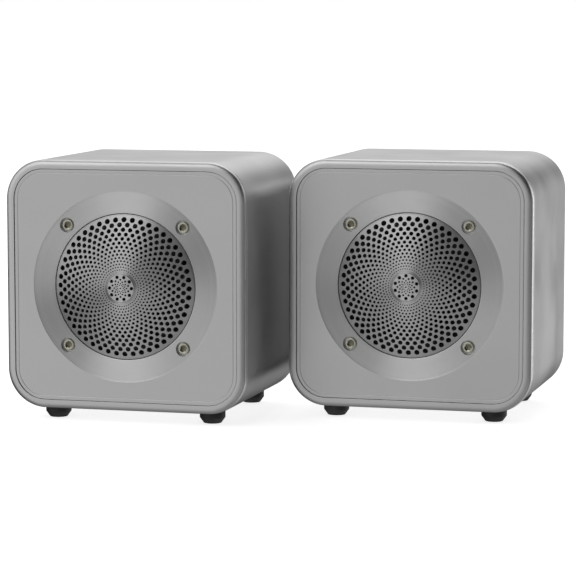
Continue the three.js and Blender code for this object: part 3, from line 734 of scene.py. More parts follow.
def faceplate():
    """A satin plate (material 0) with a recessed turned dish (material 1) and a stepped hole."""
    edge = rounded(
        [
            (-3, PLATE_BACK), (0, PLATE_BACK, 0.1), (0, PLATE_FRONT, 0.2),
            (-GROOVE + 0.15, PLATE_FRONT, 0.05), (-GROOVE, PLATE_FRONT + 0.14, 0.04),
            (-GROOVE - 0.15, PLATE_FRONT, 0.05), (-3, PLATE_FRONT),
        ],
        0.1, closed=False, guard=0.4,
    )
    dish = rounded(
        [
            (47.5, PLATE_FRONT), (DISH_RADIUS + 0.2, PLATE_FRONT, 0.5),
            (DISH_RADIUS - 0.4, DISH_DEPTH, 0.5),
            (35.2, DISH_INNER_DEPTH, 0.18), (35.2, 3.1, 0.1), (37.6, 3.1, 0.1), (37.6, PLATE_BACK, 0.1),
            (40, PLATE_BACK),
        ],
        0.1, closed=False, guard=0.5,
    )
    outer = lofted(edge, PLATE_HALF, PLATE_HALF, PLATE_CORNER, 20, 24, closed=False)
    wall_start = next(i for i, (r, d) in enumerate(dish) if r < DISH_RADIUS + 0.2)
    wall_end = next(i for i, (r, d) in enumerate(dish) if r < 35.5)
    slots = [1 if wall_start <= i < wall_end + 3 else 0 for i in range(len(dish))]
    return bridged(outer, turned(dish, 240, slots=slots), 4 * (20 + 24), 240, front_last=True)


def faceplate_tools():
    """Counterbores with a small chamfer, and the holes for the screws' shanks."""
    tool = turned(
        [(0, -1), (3.65, -1), (3.65, 0.62), (3.4, 0.95), (3.4, 3.0), (1.8, 3.0), (1.8, 6), (0, 6)], 48
    )
    return [tool.moved(x, 0, z) for x, z in SCREW_PLACES]


# ---- grille

RIM = 34.9
DOME_RISE = 6.8
DOME_RIM = 1.0
DOME_SPHERE = (RIM**2 + DOME_RISE**2) / (2 * DOME_RISE)
SHEET = 0.8
HOLE_RINGS = 14
HOLES = 48
BOSS_RADIUS = 6.66
BOSS_PROUD = 0.25


def dome(radius):
    """Depth of the domed sheet's front at a distance from the axis."""
    drop = DOME_SPHERE - math.sqrt(DOME_SPHERE**2 - radius**2)
    return DOME_RIM - DOME_RISE + drop


def hole_rings():
    """Radius of each ring of holes and of its holes, from the rim inwards."""
    share, out = 0.924, []
    for _ in range(HOLE_RINGS):
        out.append((share * RIM, (2.95 * share - 0.24) / 2))
        share = 0.951 * share - 0.0235
    return out


BOSS_RINGS = [(5.48, 0.82), (4.12, 0.48), (3.07, 0.36), (2.27, 0.3), (1.54, 0.23)]


class Sheet:
    """Collects the points and faces of a perforated sheet, sharing points between its cells."""

    def __init__(self):
        self.points, self.faces, self.slots, self.known = [], [], [], {}

    def point(self, radius, angle, depth):
        x, z = radius * math.cos(angle), radius * math.sin(angle)
        key = (round(x, 3), round(depth, 3), round(z, 3))
        if key not in self.known:
            self.known[key] = len(self.points)
            self.points.append((x, depth, z))
        return self.known[key]

    def loop(self, radius, angles, depth):
        return [self.point(radius, a, depth) for a in angles]

    def band(self, a, b, slot=0):
        made = strip(a, b)
        self.faces += made
        self.slots += [slot] * len(made)

    def seam(self, a, b, slot=0):
        made = stitch(a, b, self.points)
        self.faces += made
        self.slots += [slot] * len(made)


def lattice(sheet, ring_list, count, split, phase, front, back, slot, inner_reach, edge=0.07):
    """Six-sided cells in staggered rings, each with a round hole. Returns the outer and the inner
    boundary as (angle, radius) lists."""
    step = TURN / count
    outer_edge, inner_edge = {}, {}
    for i, (radius, hole) in enumerate(ring_list):
        inwards = radius - ring_list[i + 1][0] if i + 1 < len(ring_list) else inner_reach
        outwards = ring_list[i - 1][0] - radius if i else radius - ring_list[1][0]
        corners = [
            (0.0, radius + 2 / 3 * outwards), (0.5, radius + outwards / 3),
            (0.5, radius - inwards / 3), (0.0, radius - 2 / 3 * inwards),
            (-0.5, radius - inwards / 3), (-0.5, radius + outwards / 3),
        ]
        for k in range(count):
            centre = step * (k + phase + 0.5 * (i % 2))
            border = []
            for c in range(6):
                (t0, r0), (t1, r1) = corners[c], corners[(c + 1) % 6]
                for s in range(split):
                    f = s / split
                    border.append((centre + step * (t0 + (t1 - t0) * f), r0 + (r1 - r0) * f))
                    if i == 0 and c in (0, 5):
                        outer_edge[round(border[-1][0] % TURN, 6)] = border[-1][1]
                    if i == len(ring_list) - 1 and c in (2, 3):
                        inner_edge[round(border[-1][0] % TURN, 6)] = border[-1][1]
            if i == 0:
                last = centre + step * 0.5
                outer_edge[round(last % TURN, 6)] = corners[1][1]
            if i == len(ring_list) - 1:
                last = centre - step * 0.5
                inner_edge[round(last % TURN, 6)] = corners[4][1]
            cx, cz = radius * math.cos(centre), radius * math.sin(centre)
            loops = [[], [], [], [], []]
            for angle, r in border:
                loops[0].append(sheet.point(r, angle, front(r)))
                loops[4].append(sheet.point(r, angle, back(r)))
                x, z = r * math.cos(angle) - cx, r * math.sin(angle) - cz
                length = math.hypot(x, z)
                for level, size, sink in ((1, hole + edge, 0.0), (2, hole, edge), (3, hole, None)):
                    px, pz = cx + x / length * size, cz + z / length * size
                    distance = math.hypot(px, pz)
                    depth = back(distance) if sink is None else front(distance) + sink
                    sheet.points.append((px, depth, pz))
                    loops[level].append(len(sheet.points) - 1)
            for a, b in zip(loops, loops[1:]):
                sheet.band(a, b, slot)
    return sorted(outer_edge.items()), sorted(inner_edge.items())


def grille(side):
    """A domed sheet with staggered rings of holes that shrink inwards, grooves round a raised boss
    with its own rings, and a skirt with a flange behind the plate."""
    sheet = Sheet()

    def raised(radius):
        return dome(radius) - BOSS_PROUD

    def behind(radius):
        return dome(radius) + SHEET

    boss_phase = 0.0 if side == "left" else 0.5
    outer, inner = lattice(sheet, hole_rings(), HOLES, 3, 0.0, dome, behind, 0, 0.9)
    boss_outer, boss_inner = lattice(sheet, BOSS_RINGS, 10, 4, boss_phase, raised, behind, 1, 0.5, 0.05)

    # rim, skirt and flange, from the front of the sheet round to its back
    angles = [a for a, _ in outer]
    profile = rounded(
        [
            (33.96, dome(33.96)), (RIM, DOME_RIM, 0.55), (RIM, 3.4, 0.2), (37.3, 3.4, 0.15),
            (37.3, 4.2, 0.15), (RIM - SHEET, 4.2, 0.3), (RIM - SHEET, behind(34.1)),
            (33.96, behind(33.96)),
        ],
        0.2, closed=False, guard=0.3,
    )
    before = [sheet.point(r, a, dome(r)) for a, r in outer]
    for radius, depth in profile:
        now = sheet.loop(radius, angles, depth)
        sheet.band(before, now)
        before = now
    sheet.band(before, [sheet.point(r, a, behind(r)) for a, r in outer])

    # grooves between the two patterns, and the boss's edge
    angles = [a for a, _ in inner]
    before = [sheet.point(r, a, dome(r)) for a, r in inner]
    grooves = [(8.05, 0.0)]
    for k in range(6):
        grooves += [(7.95 - 0.2 * k, 0.0), (7.87 - 0.2 * k, 0.07)]
    grooves += [(6.76, 0.0)]
    for radius, sink in grooves:
        now = sheet.loop(radius, angles, dome(radius) + sink)
        sheet.band(before, now)
        before = now
    boss_angles = [a for a, _ in boss_outer]
    boss_edge = sheet.loop(BOSS_RADIUS, boss_angles, dome(BOSS_RADIUS) - BOSS_PROUD + 0.1)
    sheet.seam(before, boss_edge, 1)
    shoulder = sheet.loop(BOSS_RADIUS - 0.1, boss_angles, raised(BOSS_RADIUS - 0.1))
    sheet.band(boss_edge, shoulder, 1)
    sheet.band(shoulder, [sheet.point(r, a, raised(r)) for a, r in boss_outer], 1)
    back_before = [sheet.point(r, a, behind(r)) for a, r in inner]
    back_ring = sheet.loop(8.05, angles, behind(8.05))
    sheet.band(back_before, back_ring)
    back_boss = sheet.loop(BOSS_RADIUS, boss_angles, behind(BOSS_RADIUS))
    sheet.seam(back_ring, back_boss)
    sheet.band(back_boss, [sheet.point(r, a, behind(r)) for a, r in boss_outer])

    # middle hole
    angles = [a for a, _ in boss_inner]
    loops = [[sheet.point(r, a, raised(r)) for a, r in boss_inner]]
    for radius, depth in ((0.95, raised(0.95)), (0.4, raised(0.4)), (0.35, raised(0) + 0.06)):
        loops.append(sheet.loop(radius, angles, depth))
    loops += [sheet.loop(0.35, angles, behind(0.35)), sheet.loop(0.95, angles, behind(0.95))]
    loops.append([sheet.point(r, a, behind(r)) for a, r in boss_inner])
    for a, b in zip(loops, loops[1:]):
        sheet.band(a, b, 1)
    return Shape(sheet.points, sheet.faces, sheet.slots)


def socket_screw(turn):
    """A cap screw with its threads: metal (0), with its hexagon socket and the side of its head (1) painted
    dark as shade.
    """
    count = 48

    def circle(radius, depth):
        return loop_about(depth, count, lambda a: radius)

    def hexagon(radius, depth):
        flat, half = radius * math.cos(TURN / 12), TURN / 12
        return loop_about(depth, count, lambda a: flat / math.cos((a - turn) % (TURN / 6) - half))

    inside = [[(0.0, 2.85, 0.0)], hexagon(1.4, 2.65), hexagon(1.58, 2.6), hexagon(1.62, 1.5)]
    head = rounded(
        [(1.85, 1.25), (2.72, 1.25, 0.5), (2.8, 2.9, 0.1), (1.5, 2.9, 0.1), (1.5, 5.0)],
        0.1, steps=4, closed=False, guard=0.2,
    )
    thread = []
    depth = 5.2
    while depth < 13:
        thread += [(1.3, depth), (1.5, depth + 0.22)]
        depth += 0.45
    outside = [(1.76, 1.31), *head, *thread, (1.2, 13.6), (0.9, 14.0)]
    loops = inside + [circle(r, d) for r, d in outside] + [[(0.0, 14.0, 0.0)]]
    # The socket's inside and the head's side get material 1, which paints shade on them.
    side = [i for i, loop in enumerate(loops) if len(loop) > 1 and 1.9 < loop[0][1] < 2.95]
    dark = {*range(len(inside) - 1), *side}
    return rings(loops, slots=[1 if i in dark else 0 for i in range(len(loops))])


def foot():
    """A turned rubber foot with a recess for its screw, standing on its flat."""
    profile = rounded(
        [
            (0, 3.1), (1.9, 3.1, 0.2), (1.9, 0.05, 0.25), (4.2, 0, 0.5),
            (6.2, 2.7, 0.8), (6.2, 6.0, 0.05), (0, 6.0),
        ],
        0.2, steps=4, closed=False, guard=0.0,
    )
    upright = turned(profile, 64)
    return Shape(upright.points[:, [0, 2, 1]], upright.faces, upright.slots)


# ---------------------------------------------------------------- driver


def baffle():
    """A flat board with the driver's opening."""
    front, back = 6.5, 12.5
    hole = rounded([(42, front), (33.2, front, 0.8), (33.2, back, 0.3), (42, back)], 0.3, closed=False)
    edge = rounded([(-8, front), (0, front), (0, back), (-8, back)], 0.3, closed=False)
    outer = lofted(edge, PLATE_HALF, PLATE_HALF, PLATE_CORNER, 12, 16, closed=False)
    return bridged(outer, turned(hole, 96), 4 * (12 + 16), 96)


def basket():
    """Pressed steel: a mounting flange, a conical wall for the windows and a seat for the magnet."""
    outline = rounded(
        [
            (31, 4.7, 0.2), (45, 4.7, 0.3), (45, 6.2, 0.2), (32.2, 6.2, 0.6), (27.2, 22.5, 0.5),
            (24.2, 22.5, 0.4), (24.2, 25.5, 0.3), (11.6, 25.5, 0.2), (11.6, 24.3, 0.2),
            (23.0, 24.3, 0.4), (23.0, 21.3, 0.4), (26, 21.3, 0.5), (31, 6.2, 0.5),
        ],
        0.3, guard=0,
    )
    return turned(outline, 96, closed=True)


def basket_tools():
    """Three bars that each cut two windows, one list for each, and the screw holes."""
    window = block(6, 50, 2.5, 9.5, 19, 0.4)
    return [[window.rotated(y=60 * i)] for i in range(3)], screw_holes(0, 8)


def surround():
    """A rubber half roll between the cone's edge and the basket."""
    middle, lip, sheet = 29.3, 4.6, 0.3
    front, back = [], []
    for k in range(15):
        a = math.pi * k / 14
        for line, r in ((front, 2.1 + sheet), (back, 2.1 - sheet)):
            line.append((middle - r * math.cos(a), lip - r * math.sin(a) * 0.9))
    front = [(25.6, 4.3), (26.6, 4.3), *front, (32.4, 3.9), (33.6, 3.9)]
    back = [(25.6, 4.88), (26.8, 4.88), *back, (32.2, 4.4), (33.6, 4.4)]
    return turned(front + back[::-1], 96, closed=True)


CONE_NECK, CONE_EDGE = 10.9, 25.6  # radii of the cone's two ends
CONE_DEPTH, CONE_RISE = 16.4, 11.2  # the neck's depth, and how far the edge is in front of it


def cone():
    """Paper with a slight bow and low ribs, and a rim for the surround."""
    front, back = [], []
    for k in range(15):
        t = k / 14
        r = CONE_NECK + (CONE_EDGE - CONE_NECK) * t
        d = CONE_DEPTH - CONE_RISE * t + 0.5 * math.sin(math.pi * t)
        rib = 0.12 if k % 3 == 1 else 0.0
        front.append((r, d + rib))
        back.append((r, d + 0.8 + rib))
    front += [(26.3, 5.2), (27, 5.2)]
    back += [(26.4, 5.9), (27, 5.9)]
    return turned(front + back[::-1], 96, closed=True)


def cap_line(radius, rise, rim, steps):
    """The profile of a spherical cap, from its rim to the axis."""
    sphere = (radius**2 + rise**2) / (2 * rise)
    half = math.asin(radius / sphere)
    out = []
    for i in range(steps + 1):
        a = half * (1 - i / steps)
        out.append((sphere * math.sin(a), rim - (sphere * math.cos(a) - sphere + rise)))
    return out


def dust_cap():
    rim = CONE_DEPTH - CONE_RISE / 14.7 * 1.3 - 0.42
    outside = cap_line(12.2, 4.5, rim, 14)
    inside = cap_line(11.7, 4.1, rim + 0.1, 14)
    return turned(inside[::-1] + outside, 72)


def voice_coil():
    outline = rounded(
        [
            (9.7, 15.6, 0.05), (10.3, 15.6, 0.05), (10.3, 24.5, 0), (10.6, 24.5, 0.1),
            (10.6, 31.5, 0.1), (10.3, 31.5, 0), (10.3, 33.5, 0.05), (9.7, 33.5, 0.05),
        ],
        0.05, guard=0,
    )
    slots = [1 if r > 10.35 or (24.4 < d < 31.6 and r > 10.2) else 0 for r, d in outline]
    return turned(outline, 72, closed=True, slots=slots)


def spider():
    """Corrugated cloth from the voice coil's former to the basket."""
    front = [(10.8, 19.8)]
    for k in range(49):
        t = k / 48
        front.append((11.0 + 13.0 * t, 20.35 + 0.55 * math.cos(math.pi * (6 * t + 1))))
    front += [(24.6, 20.5), (25.6, 20.5)]
    back = [(r, d + 0.4) for r, d in front]
    return turned(front + back[::-1], 72, closed=True)


def ring_shape(inner, outer, front, back, edge, count=96, guard=0.3):
    """A plain ring with rounded edges."""
    line = [(inner, front), (outer, front), (outer, back), (inner, back)]
    outline = rounded(line, edge, guard=guard)
    return turned(outline, count, closed=True)


def yoke():
    """The magnet's back plate, in one with the pole piece."""
    outline = rounded(
        [
            (0, 25.8), (9.2, 25.8, 0.5), (9.2, 40.4, 0.3), (26.5, 40.4, 0.4), (26.5, 44.4, 1.0),
            (13.0, 44.4, 0.3), (12.6, 43.9, 0.3), (0, 43.9),
        ],
        0.4, closed=False, guard=0.3,
    )
    return turned(outline, 96)


LEAD_ROUTE = [
    (-31, 16, -17), (-37, 24, -22), (-46, 36, -26), (-49, 52, -26), (-47, 66, -24), (-38, 72.6, -24),
]


def lead(shift):
    """One core of the twin lead, beside the other."""
    route = smooth_route(LEAD_ROUTE, 7)
    return swept([p + Vector((0, 0, shift)) for p in route], 0.58, 12)


def wadding(seed):
    """A lumpy batt of fibre, subdivided and pushed about by noise."""
    halves, steps = (44.0, 18.0, 19.0), (22, 9, 10)
    points, faces, known = [], [], {}

    def number(u, v, w):
        key = (round(u, 4), round(v, 4), round(w, 4))
        if key in known:
            return known[key]
        p = Vector((u, v, w))
        inner = Vector([max(-0.72, min(0.72, c)) for c in p])
        out = p - inner
        if out.length > 1e-6:
            p = inner + out.normalized() * 0.28 * min(1.0, out.length / 0.28)
        place = Vector([c * h for c, h in zip(p, halves)])
        lump = noise.noise(place * 0.09 + Vector((seed, 0, 0)))
        tuft = noise.noise(place * 0.45 + Vector((0, seed, 0)))
        crease = 1 - 0.1 * math.exp(-((place.x - 6 * lump) / 5.0) ** 2)
        place = place * (0.93 + 0.06 * lump + 0.02 * tuft) * crease
        known[key] = len(points)
        points.append(place)
        return known[key]

    for axis in range(3):
        a, b = [i for i in range(3) if i != axis]
        for sign in (-1, 1):
            for i in range(steps[a]):
                for j in range(steps[b]):
                    quad = []
                    for di, dj in ((0, 0), (1, 0), (1, 1), (0, 1)):
                        c = [0.0, 0.0, 0.0]
                        c[axis] = sign
                        c[a] = -1 + 2 * (i + di) / steps[a]
                        c[b] = -1 + 2 * (j + dj) / steps[b]
                        quad.append(number(*c))
                    faces.append(tuple(quad))
    return Shape(points, faces)


# ---------------------------------------------------------------- rear

ROW = -24.0
PANEL_HALF = 57.2
PANEL_CORNER = 16.2
PANEL_FRONT = 89.5
PANEL_BACK = 92.5
BOARD_BACK = 73.9  # just behind the amplifier board, where the sockets stand on it
PANEL_SCREWS = ((-49, 49), (49, 49), (49, -49), (-49, -49))
LINK_X, DC_X, AUDIO_X, SWITCH_X, VOLUME_X = -38.0, -18.0, 0.0, 18.0, 38.0


def back_panel():
    """A moulded plate with a rounded edge and a shallow groove round it."""
    profile = rounded(
        [(-1.5, PANEL_FRONT), (0, PANEL_FRONT), (0, PANEL_BACK), (-1.5, PANEL_BACK)],
        0.35, closed=False, guard=0,
    )
    step = PANEL_BACK - 0.35
    profile += [(-3.2, PANEL_BACK), (-3.6, step), (-4.4, step), (-4.8, PANEL_BACK), (-5.6, PANEL_BACK)]
    return lofted(profile, PANEL_HALF, PANEL_HALF, PANEL_CORNER, 16, closed=False, caps=True)


def frame_rail(half_x, half_z, x, z):
    """A low rounded rail moulded round a group of sockets."""
    inside, top = PANEL_BACK - 0.2, PANEL_BACK + 0.35
    outline = rounded([(0, inside), (0, top), (-1.1, top), (-1.1, inside)], 0.2, guard=0)
    return lofted(outline, half_x, half_z, 4.0, 8).moved(x, 0, z)


def panel_tools(powered):
    """The openings of the back panel, with small chamfers, and its screws' counterbores."""

    def hole(radius, x):
        bore, mouth = radius + 0.3, radius + 0.55
        line = [(0, 86), (bore, 86), (bore, 92.3), (mouth, 92.6), (mouth, 96), (0, 96)]
        return turned(line, 48).in_row(x)

    tools = [hole(3.5, LINK_X)]
    if powered:
        tools += [hole(5, DC_X), hole(3.5, AUDIO_X), hole(4.3, VOLUME_X)]
        tools.append(block(6.6, 9.8, 0.8, 86, 96).in_row(SWITCH_X))
    bore = turned([(0, 88), (1.5, 88), (1.5, 91.6), (3.2, 91.6), (3.2, 96), (0, 96)], 40)
    return tools + [bore.moved(x, 0, z) for x, z in PANEL_SCREWS]


def panel_screw():
    """A pan head screw, from its tip to its head. cross() makes its recess."""
    profile = rounded(
        [(0, 85.5), (1.3, 86.5, 0.3), (1.3, 91.65, 0.1), (2.85, 91.65, 0.1),
         (2.75, 92.4, 0.5), (1.6, 93.15, 0.5), (0, 93.25)],
        0.1, steps=4, closed=False, guard=0,
    )
    return turned(profile, 40)


def cross(turn):
    """A plus-shaped tool for a screw's recess, turned by these degrees."""
    long, wide = 1.55, 0.27
    quarter = [(long, wide), (wide, wide), (wide, long)]
    outline = quarter + [(-x, z) for x, z in quarter[::-1]]
    outline += [(-x, -z) for x, z in outline]
    loops = [[(x, depth, z) for x, z in outline] for depth in (92.3, 95)]
    return rings(loops, closed=False, caps=True).rotated(y=turn)


def threaded(radius, front, back, pitch=0.5):
    """The profile of a thread, as rings."""
    line, depth = [], front
    while depth < back - 0.3:
        line += [(radius - 0.14, depth), (radius, depth + pitch / 2)]
        depth += pitch
    return line


def jack(x):
    """A panel jack: a moulded body (0), and a threaded nose with a fluted round nut (1)."""
    body = block(5.5, 5.5, 0.8, BOARD_BACK, 89.2, 0.35)
    outline = [
        (1.8, 77.5), (1.8, 92.8), (2.0, 93.0), (3.2, 93.0), *threaded(3.5, 89.4, 92.8)[::-1],
        (3.5, 89.1), (3.5, 77.5),
    ]
    sleeve = turned(outline, 48, closed=True)
    nut_line = rounded(
        [(3.55, 92.55), (4.9, 92.55, 0.15), (4.9, 93.5, 0.3), (3.55, 93.5, 0.2)], 0.1, guard=0
    )
    flutes = 24

    def flute(i, a):
        return -0.12 * (0.5 + 0.5 * math.cos(flutes * a)) if nut_line[i][0] > 4.6 else 0.0

    nut = turned(nut_line, 96, closed=True, wave=flute)
    return (body + (sleeve + nut).painted(1)).in_row(x)


def dc_inlet(x):
    """A moulded socket (0) with a hollow-ended pin (1)."""
    body = block(5.5, 6.5, 0.8, BOARD_BACK, 89.2, 0.35)
    outline = rounded(
        [
            (2.9, 81.0), (2.9, 93.0, 0.3), (4.7, 93.0, 0.3), (4.7, 92.5, 0), (5.0, 92.4, 0.1),
            (5.0, 89.1), (5.0, 81.0),
        ],
        0.1, guard=0,
    )
    nose = turned(outline, 64, closed=True)
    floor = turned([(0, 81.0), (2.95, 81.0), (2.95, 81.5), (0, 81.5)], 32)
    pin_line = rounded(
        [(0, 80.5), (1.0, 80.5, 0), (1.0, 92.0, 0.3), (0.35, 92.0, 0.1), (0.35, 90.5, 0), (0, 90.5)],
        0.1, closed=False, guard=0,
    )
    return (body + nose + floor + turned(pin_line, 32).painted(1)).in_row(x)


def switch_frame():
    """A flange on the panel, with an open tube behind it and a floor in the tube."""
    flange = rounded([(0, 92.8), (0, 94.3, 0.5), (-2.3, 94.3, 0.35), (-2.3, 92.8)], 0.15, guard=0)
    outer = lofted(flange, 7.5, 10.8, 2.6, 6)
    wall = rounded([(0, BOARD_BACK), (0, 92.9), (-1.0, 92.9), (-1.0, 84.0)], 0.1, guard=0)
    tube = lofted(wall, 6.3, 9.5, 1.2, 4)
    floor = block(5.6, 8.8, 0.8, 83.0, 84.0, 0.1)
    return (outer + tube + floor).in_row(SWITCH_X)


ROCKER_TILT = 9  # degrees at rest, switched off


def rocker():
    """A rocker with a hollow outer face and a round belly, about its own pivot: marks are (1)."""
    outline = []
    half, end, middle = 7.4, 3.4, 1.5
    for k in range(17):
        t = -1 + 2 * k / 16
        outline.append((half * t, middle + (end - middle) * abs(t) ** 1.35))
    belly = []
    for k in range(13):
        t = 1 - 2 * k / 12
        belly.append((half * t, -1 - (half - 4.0) * (1 - t * t)))
    ring_line = rounded([(z, y, 0.45 if i in (0, 16) else 0) for i, (z, y) in enumerate(outline)]
                        + [(z, y, 0) for z, y in belly], 0, steps=3, guard=0)
    loops = []
    width, bevel = 5.0, 0.4
    centre = np.mean(ring_line, axis=0)
    for x, shrink in ((-width, bevel), (-width + 0.12, bevel * 0.45), (-width + bevel, 0.0),
                      (width - bevel, 0.0), (width - 0.12, bevel * 0.45), (width, bevel)):
        loop = []
        for z, y in ring_line:
            away = np.array((z, y)) - centre
            away = away * (1 - shrink / max(np.linalg.norm(away), 1e-6))
            loop.append((x, centre[1] + away[1], centre[0] + away[0]))
        loops.append(loop)
    body = rings(loops, caps=True)
    bar = block(0.32, 1.5, 0.3, 0, 0.3, 0.08, 3)
    circle = ring_shape(1.0, 1.55, 0, 0.3, 0.08, 40, guard=0)
    slope = 14.0
    marks = bar.rotated(x=-slope).moved(0, 2.45, 4.6) + circle.rotated(x=slope).moved(0, 2.45, -4.6)
    return body + marks.painted(1)


def knob():
    """A knurled aluminium knob with a dished face and a blind bore."""
    front, back, radius = 93.8, 105.8, 9.0
    line = rounded(
        [
            (0, back - 2.5), (3.3, back - 2.5, 0.1), (3.3, front, 0.2), (8.6, front, 0.15),
            (8.75, front + 0.8, 0.1), (8.75, front + 1.3, 0.1), (9.0, front + 1.5, 0.05),
            (9.0, back - 2.0, 0.05), (8.8, back - 1.8, 0.05), (8.8, back - 1.0, 0.1), (7.9, back, 0.12),
            (6.9, back, 0.15), (6.7, back - 0.25, 0.2), (0, back - 0.35),
        ],
        0.1, steps=2, closed=False, guard=0,
    )

    def knurl(i, a):
        r, d = line[i]
        if r < 8.95 or not front + 1.4 < d < back - 1.9:
            return 0.0
        return -0.16 * abs(((a * 60 / TURN) % 1) - 0.5) * 2

    return turned(line, 240, wave=knurl)


KNOB_START = 150  # degrees from straight up to the first tick
TICK_RADIUS = 11.6


def ticks():
    """Marks round the knob, over its 300 degrees, longer at the two ends and the middle."""
    marks = []
    for k in range(11):
        length = 1.1 if k in (0, 5, 10) else 0.7
        mark = block(0.2, length, 0.15, PANEL_BACK - 0.08, PANEL_BACK + 0.12, 0.02, 2)
        mark = mark.moved(0, 0, TICK_RADIUS + length).rotated(y=KNOB_START - 30 * k)
        marks.append(mark.in_row(VOLUME_X))
    return joined(marks)


# ---------------------------------------------------------------- board parts


def board_parts():
    """Small parts on the amplifier board: black ones, metal ones and coils."""
    black, metal, coils = [], [], []
    for x, z, r, h in ((-20, 7, 4.0, 11), (-10, 8, 4.0, 11), (2, 8, 3.1, 8)):
        top = 71.9 - h
        line = [(0, 71.9), (r, 71.9, 0.2), (r, top, 0.5), (r - 0.8, top, 0.2), (0, 71.7 - h)]
        can = turned(rounded(line, 0.2, closed=False, guard=0), 40)
        black.append(can.in_row(12 + x, z))
    black.append(block(5, 4, 0.4, 68.4, 71.6, 0.25).in_row(22, -4))
    leg = block(0.25, 1.1, 0.1, 71.2, 71.9, 0.05, 1)
    for k in range(7):
        for s in (-1, 1):
            metal.append(leg.in_row(18.2 + 1.27 * k, -4 + s * 5))
    for k in range(5):
        metal.append(block(0.5, 6, 0.2, 61.5, 68.3, 0.1, 2).in_row(18 + 2 * k, -4))
    for x in (-12, -3):
        coils.append(ring_shape(1.5, 4.2, 67.5, 71.9, 0.7, 36, guard=0).in_row(x, -9))
    rng = random.Random(7)
    for _ in range(18):
        x, z = rng.uniform(-24, 48), rng.uniform(-15, -11)
        black.append(block(1.0, 0.6, 0.15, 71.3, 71.95, 0.08, 1).in_row(x, z))
    return joined(black), joined(metal), joined(coils)


# ---------------------------------------------------------------- putting the pieces in place

FLOOR = -66.0  # the floor's height in a cabinet's own frame, in millimetres
WADDING_SEEDS = {"left": 4.3, "right": 1.7}
rng = random.Random(3)
for side in SIDES:
    cabinet, moving = f"{side}_cabinet", f"{side}_cone"
    at = ORIGIN[side]
    powered = side == "right"

    def put(name, shape, materials, slot, body=cabinet, **more):
        more.setdefault("stands_for", f"{side}_{name}")
        return make(f"{side}_{name}_made", shape, materials, body, at, slot=slot, **more)

    put("shell", shell(), SHELL_METAL, "shell_satin")
    put("front_bezel", bezel(), BEZEL_METAL, "bezel_satin", sharp=40)
    put("faceplate", faceplate(), [FACE_METAL, DISH_METAL], "faceplate_brushed", tools=faceplate_tools())
    put("grille", grille(side), [GRILLE_METAL, BOSS_METAL], "grille_metal", sharp=30)
    for i, (x, z) in enumerate(SCREW_PLACES):
        screw = socket_screw(rng.uniform(0, TURN / 6)).moved(x, 0, z)
        put(f"grille_screw_{i + 1}", screw, [ZINC, SOCKET_SHADE_AND_GRIME], "screw_zinc", sharp=28)
        spot = local(side, f"foot_{i + 1}")
        put(f"foot_{i + 1}", foot().moved(spot.x, spot.y, FLOOR), FOOT_RUBBER, "foot_rubber")
    put("baffle", baffle(), BLACK_PLASTIC, "black_plastic", tools=screw_holes(5, 14))
    windows, holes = basket_tools()
    piece = put("driver_basket", basket(), BASKET_PAINT, "basket_steel")
    for tools in (*windows, holes):
        cut(piece, tools, at)
    smooth(piece, 32)
    put("cone", cone(), CONE_PAPER, "cone_paper", body=moving)
    put("dust_cap", dust_cap(), CAP_PAPER, "dust_cap_paper", body=moving)
    put("voice_coil", voice_coil(), [CAP_PAPER, COPPER], "coil_copper", body=moving)
    put("top_plate", ring_shape(11.1, 26, 25.8, 29.8, 0.4), STEEL, "plated_steel")
    put("magnet", ring_shape(13, 30, 30.1, 40.1, 1.0), FERRITE, "ferrite")
    put("yoke", yoke(), STEEL, "plated_steel")
    put("driver_lead", lead(-0.6), LEAD_RUBBER, "lead_rubber")
    put("driver_lead_2", lead(0.6), LEAD_RED, "lead_rubber", stands_for=())

    # the surround and the spider bend between the basket and the cone
    for name, shape, material, slot, inner, outer in (
        ("surround", surround(), SURROUND_RUBBER, "surround_rubber", 26.9, 32.0),
        ("spider", spider(), SPIDER_CLOTH, "spider_cloth", 11.6, 24.0),
    ):
        piece = put(name, shape, material, slot, body=None)
        start, end = (at + Vector((radius * MM, 0, 0)) for radius in (outer, inner))
        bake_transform(piece, cabinet, moving, start=start, end=end)
        far = np.array([v.co for v in piece.data.vertices]) - np.array(at)
        t = np.clip((outer - np.hypot(far[:, 0], far[:, 2]) / MM) / (outer - inner), 0, 1)
        weights = piece.data.attributes["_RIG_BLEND"]
        weights.data.foreach_set("value", (t * t * (3 - 2 * t)).astype(np.float32))

    pillow = wadding(WADDING_SEEDS[side]).moved(*local(side, "wadding"))
    piece = put("wadding", pillow, WADDING_FIBRE, "wadding_fibre", sharp=80)
    soften = piece.modifiers.new("soften", "SUBSURF")
    soften.levels = soften.render_levels = 1

    # back panel, its screws and the link socket
    put("back_panel", back_panel(), PANEL_PLASTIC, "back_panel_plastic", tools=panel_tools(powered))
    rail = frame_rail(52, 15.5, 0, ROW) if powered else frame_rail(9, 9, LINK_X, ROW)
    put("panel_rail", rail, PANEL_PLASTIC, "back_panel_plastic", stands_for=())
    for i, (x, z) in enumerate(PANEL_SCREWS):
        recess = cross(rng.uniform(0, 90)).moved(x, 0, z)
        put(
            f"panel_screw_{i + 1}", panel_screw().moved(x, 0, z), NICKEL, "plated_steel",
            stands_for=(), sharp=32, tools=[recess],
        )
    put("link_socket", jack(LINK_X), [SOCKET_PLASTIC, NICKEL], "socket_plastic")

at = ORIGIN["right"]


def put_right(name, shape, materials, slot, body="right_cabinet", **more):
    more.setdefault("stands_for", name)
    return make(f"{name}_made", shape, materials, body, at, slot=slot, **more)


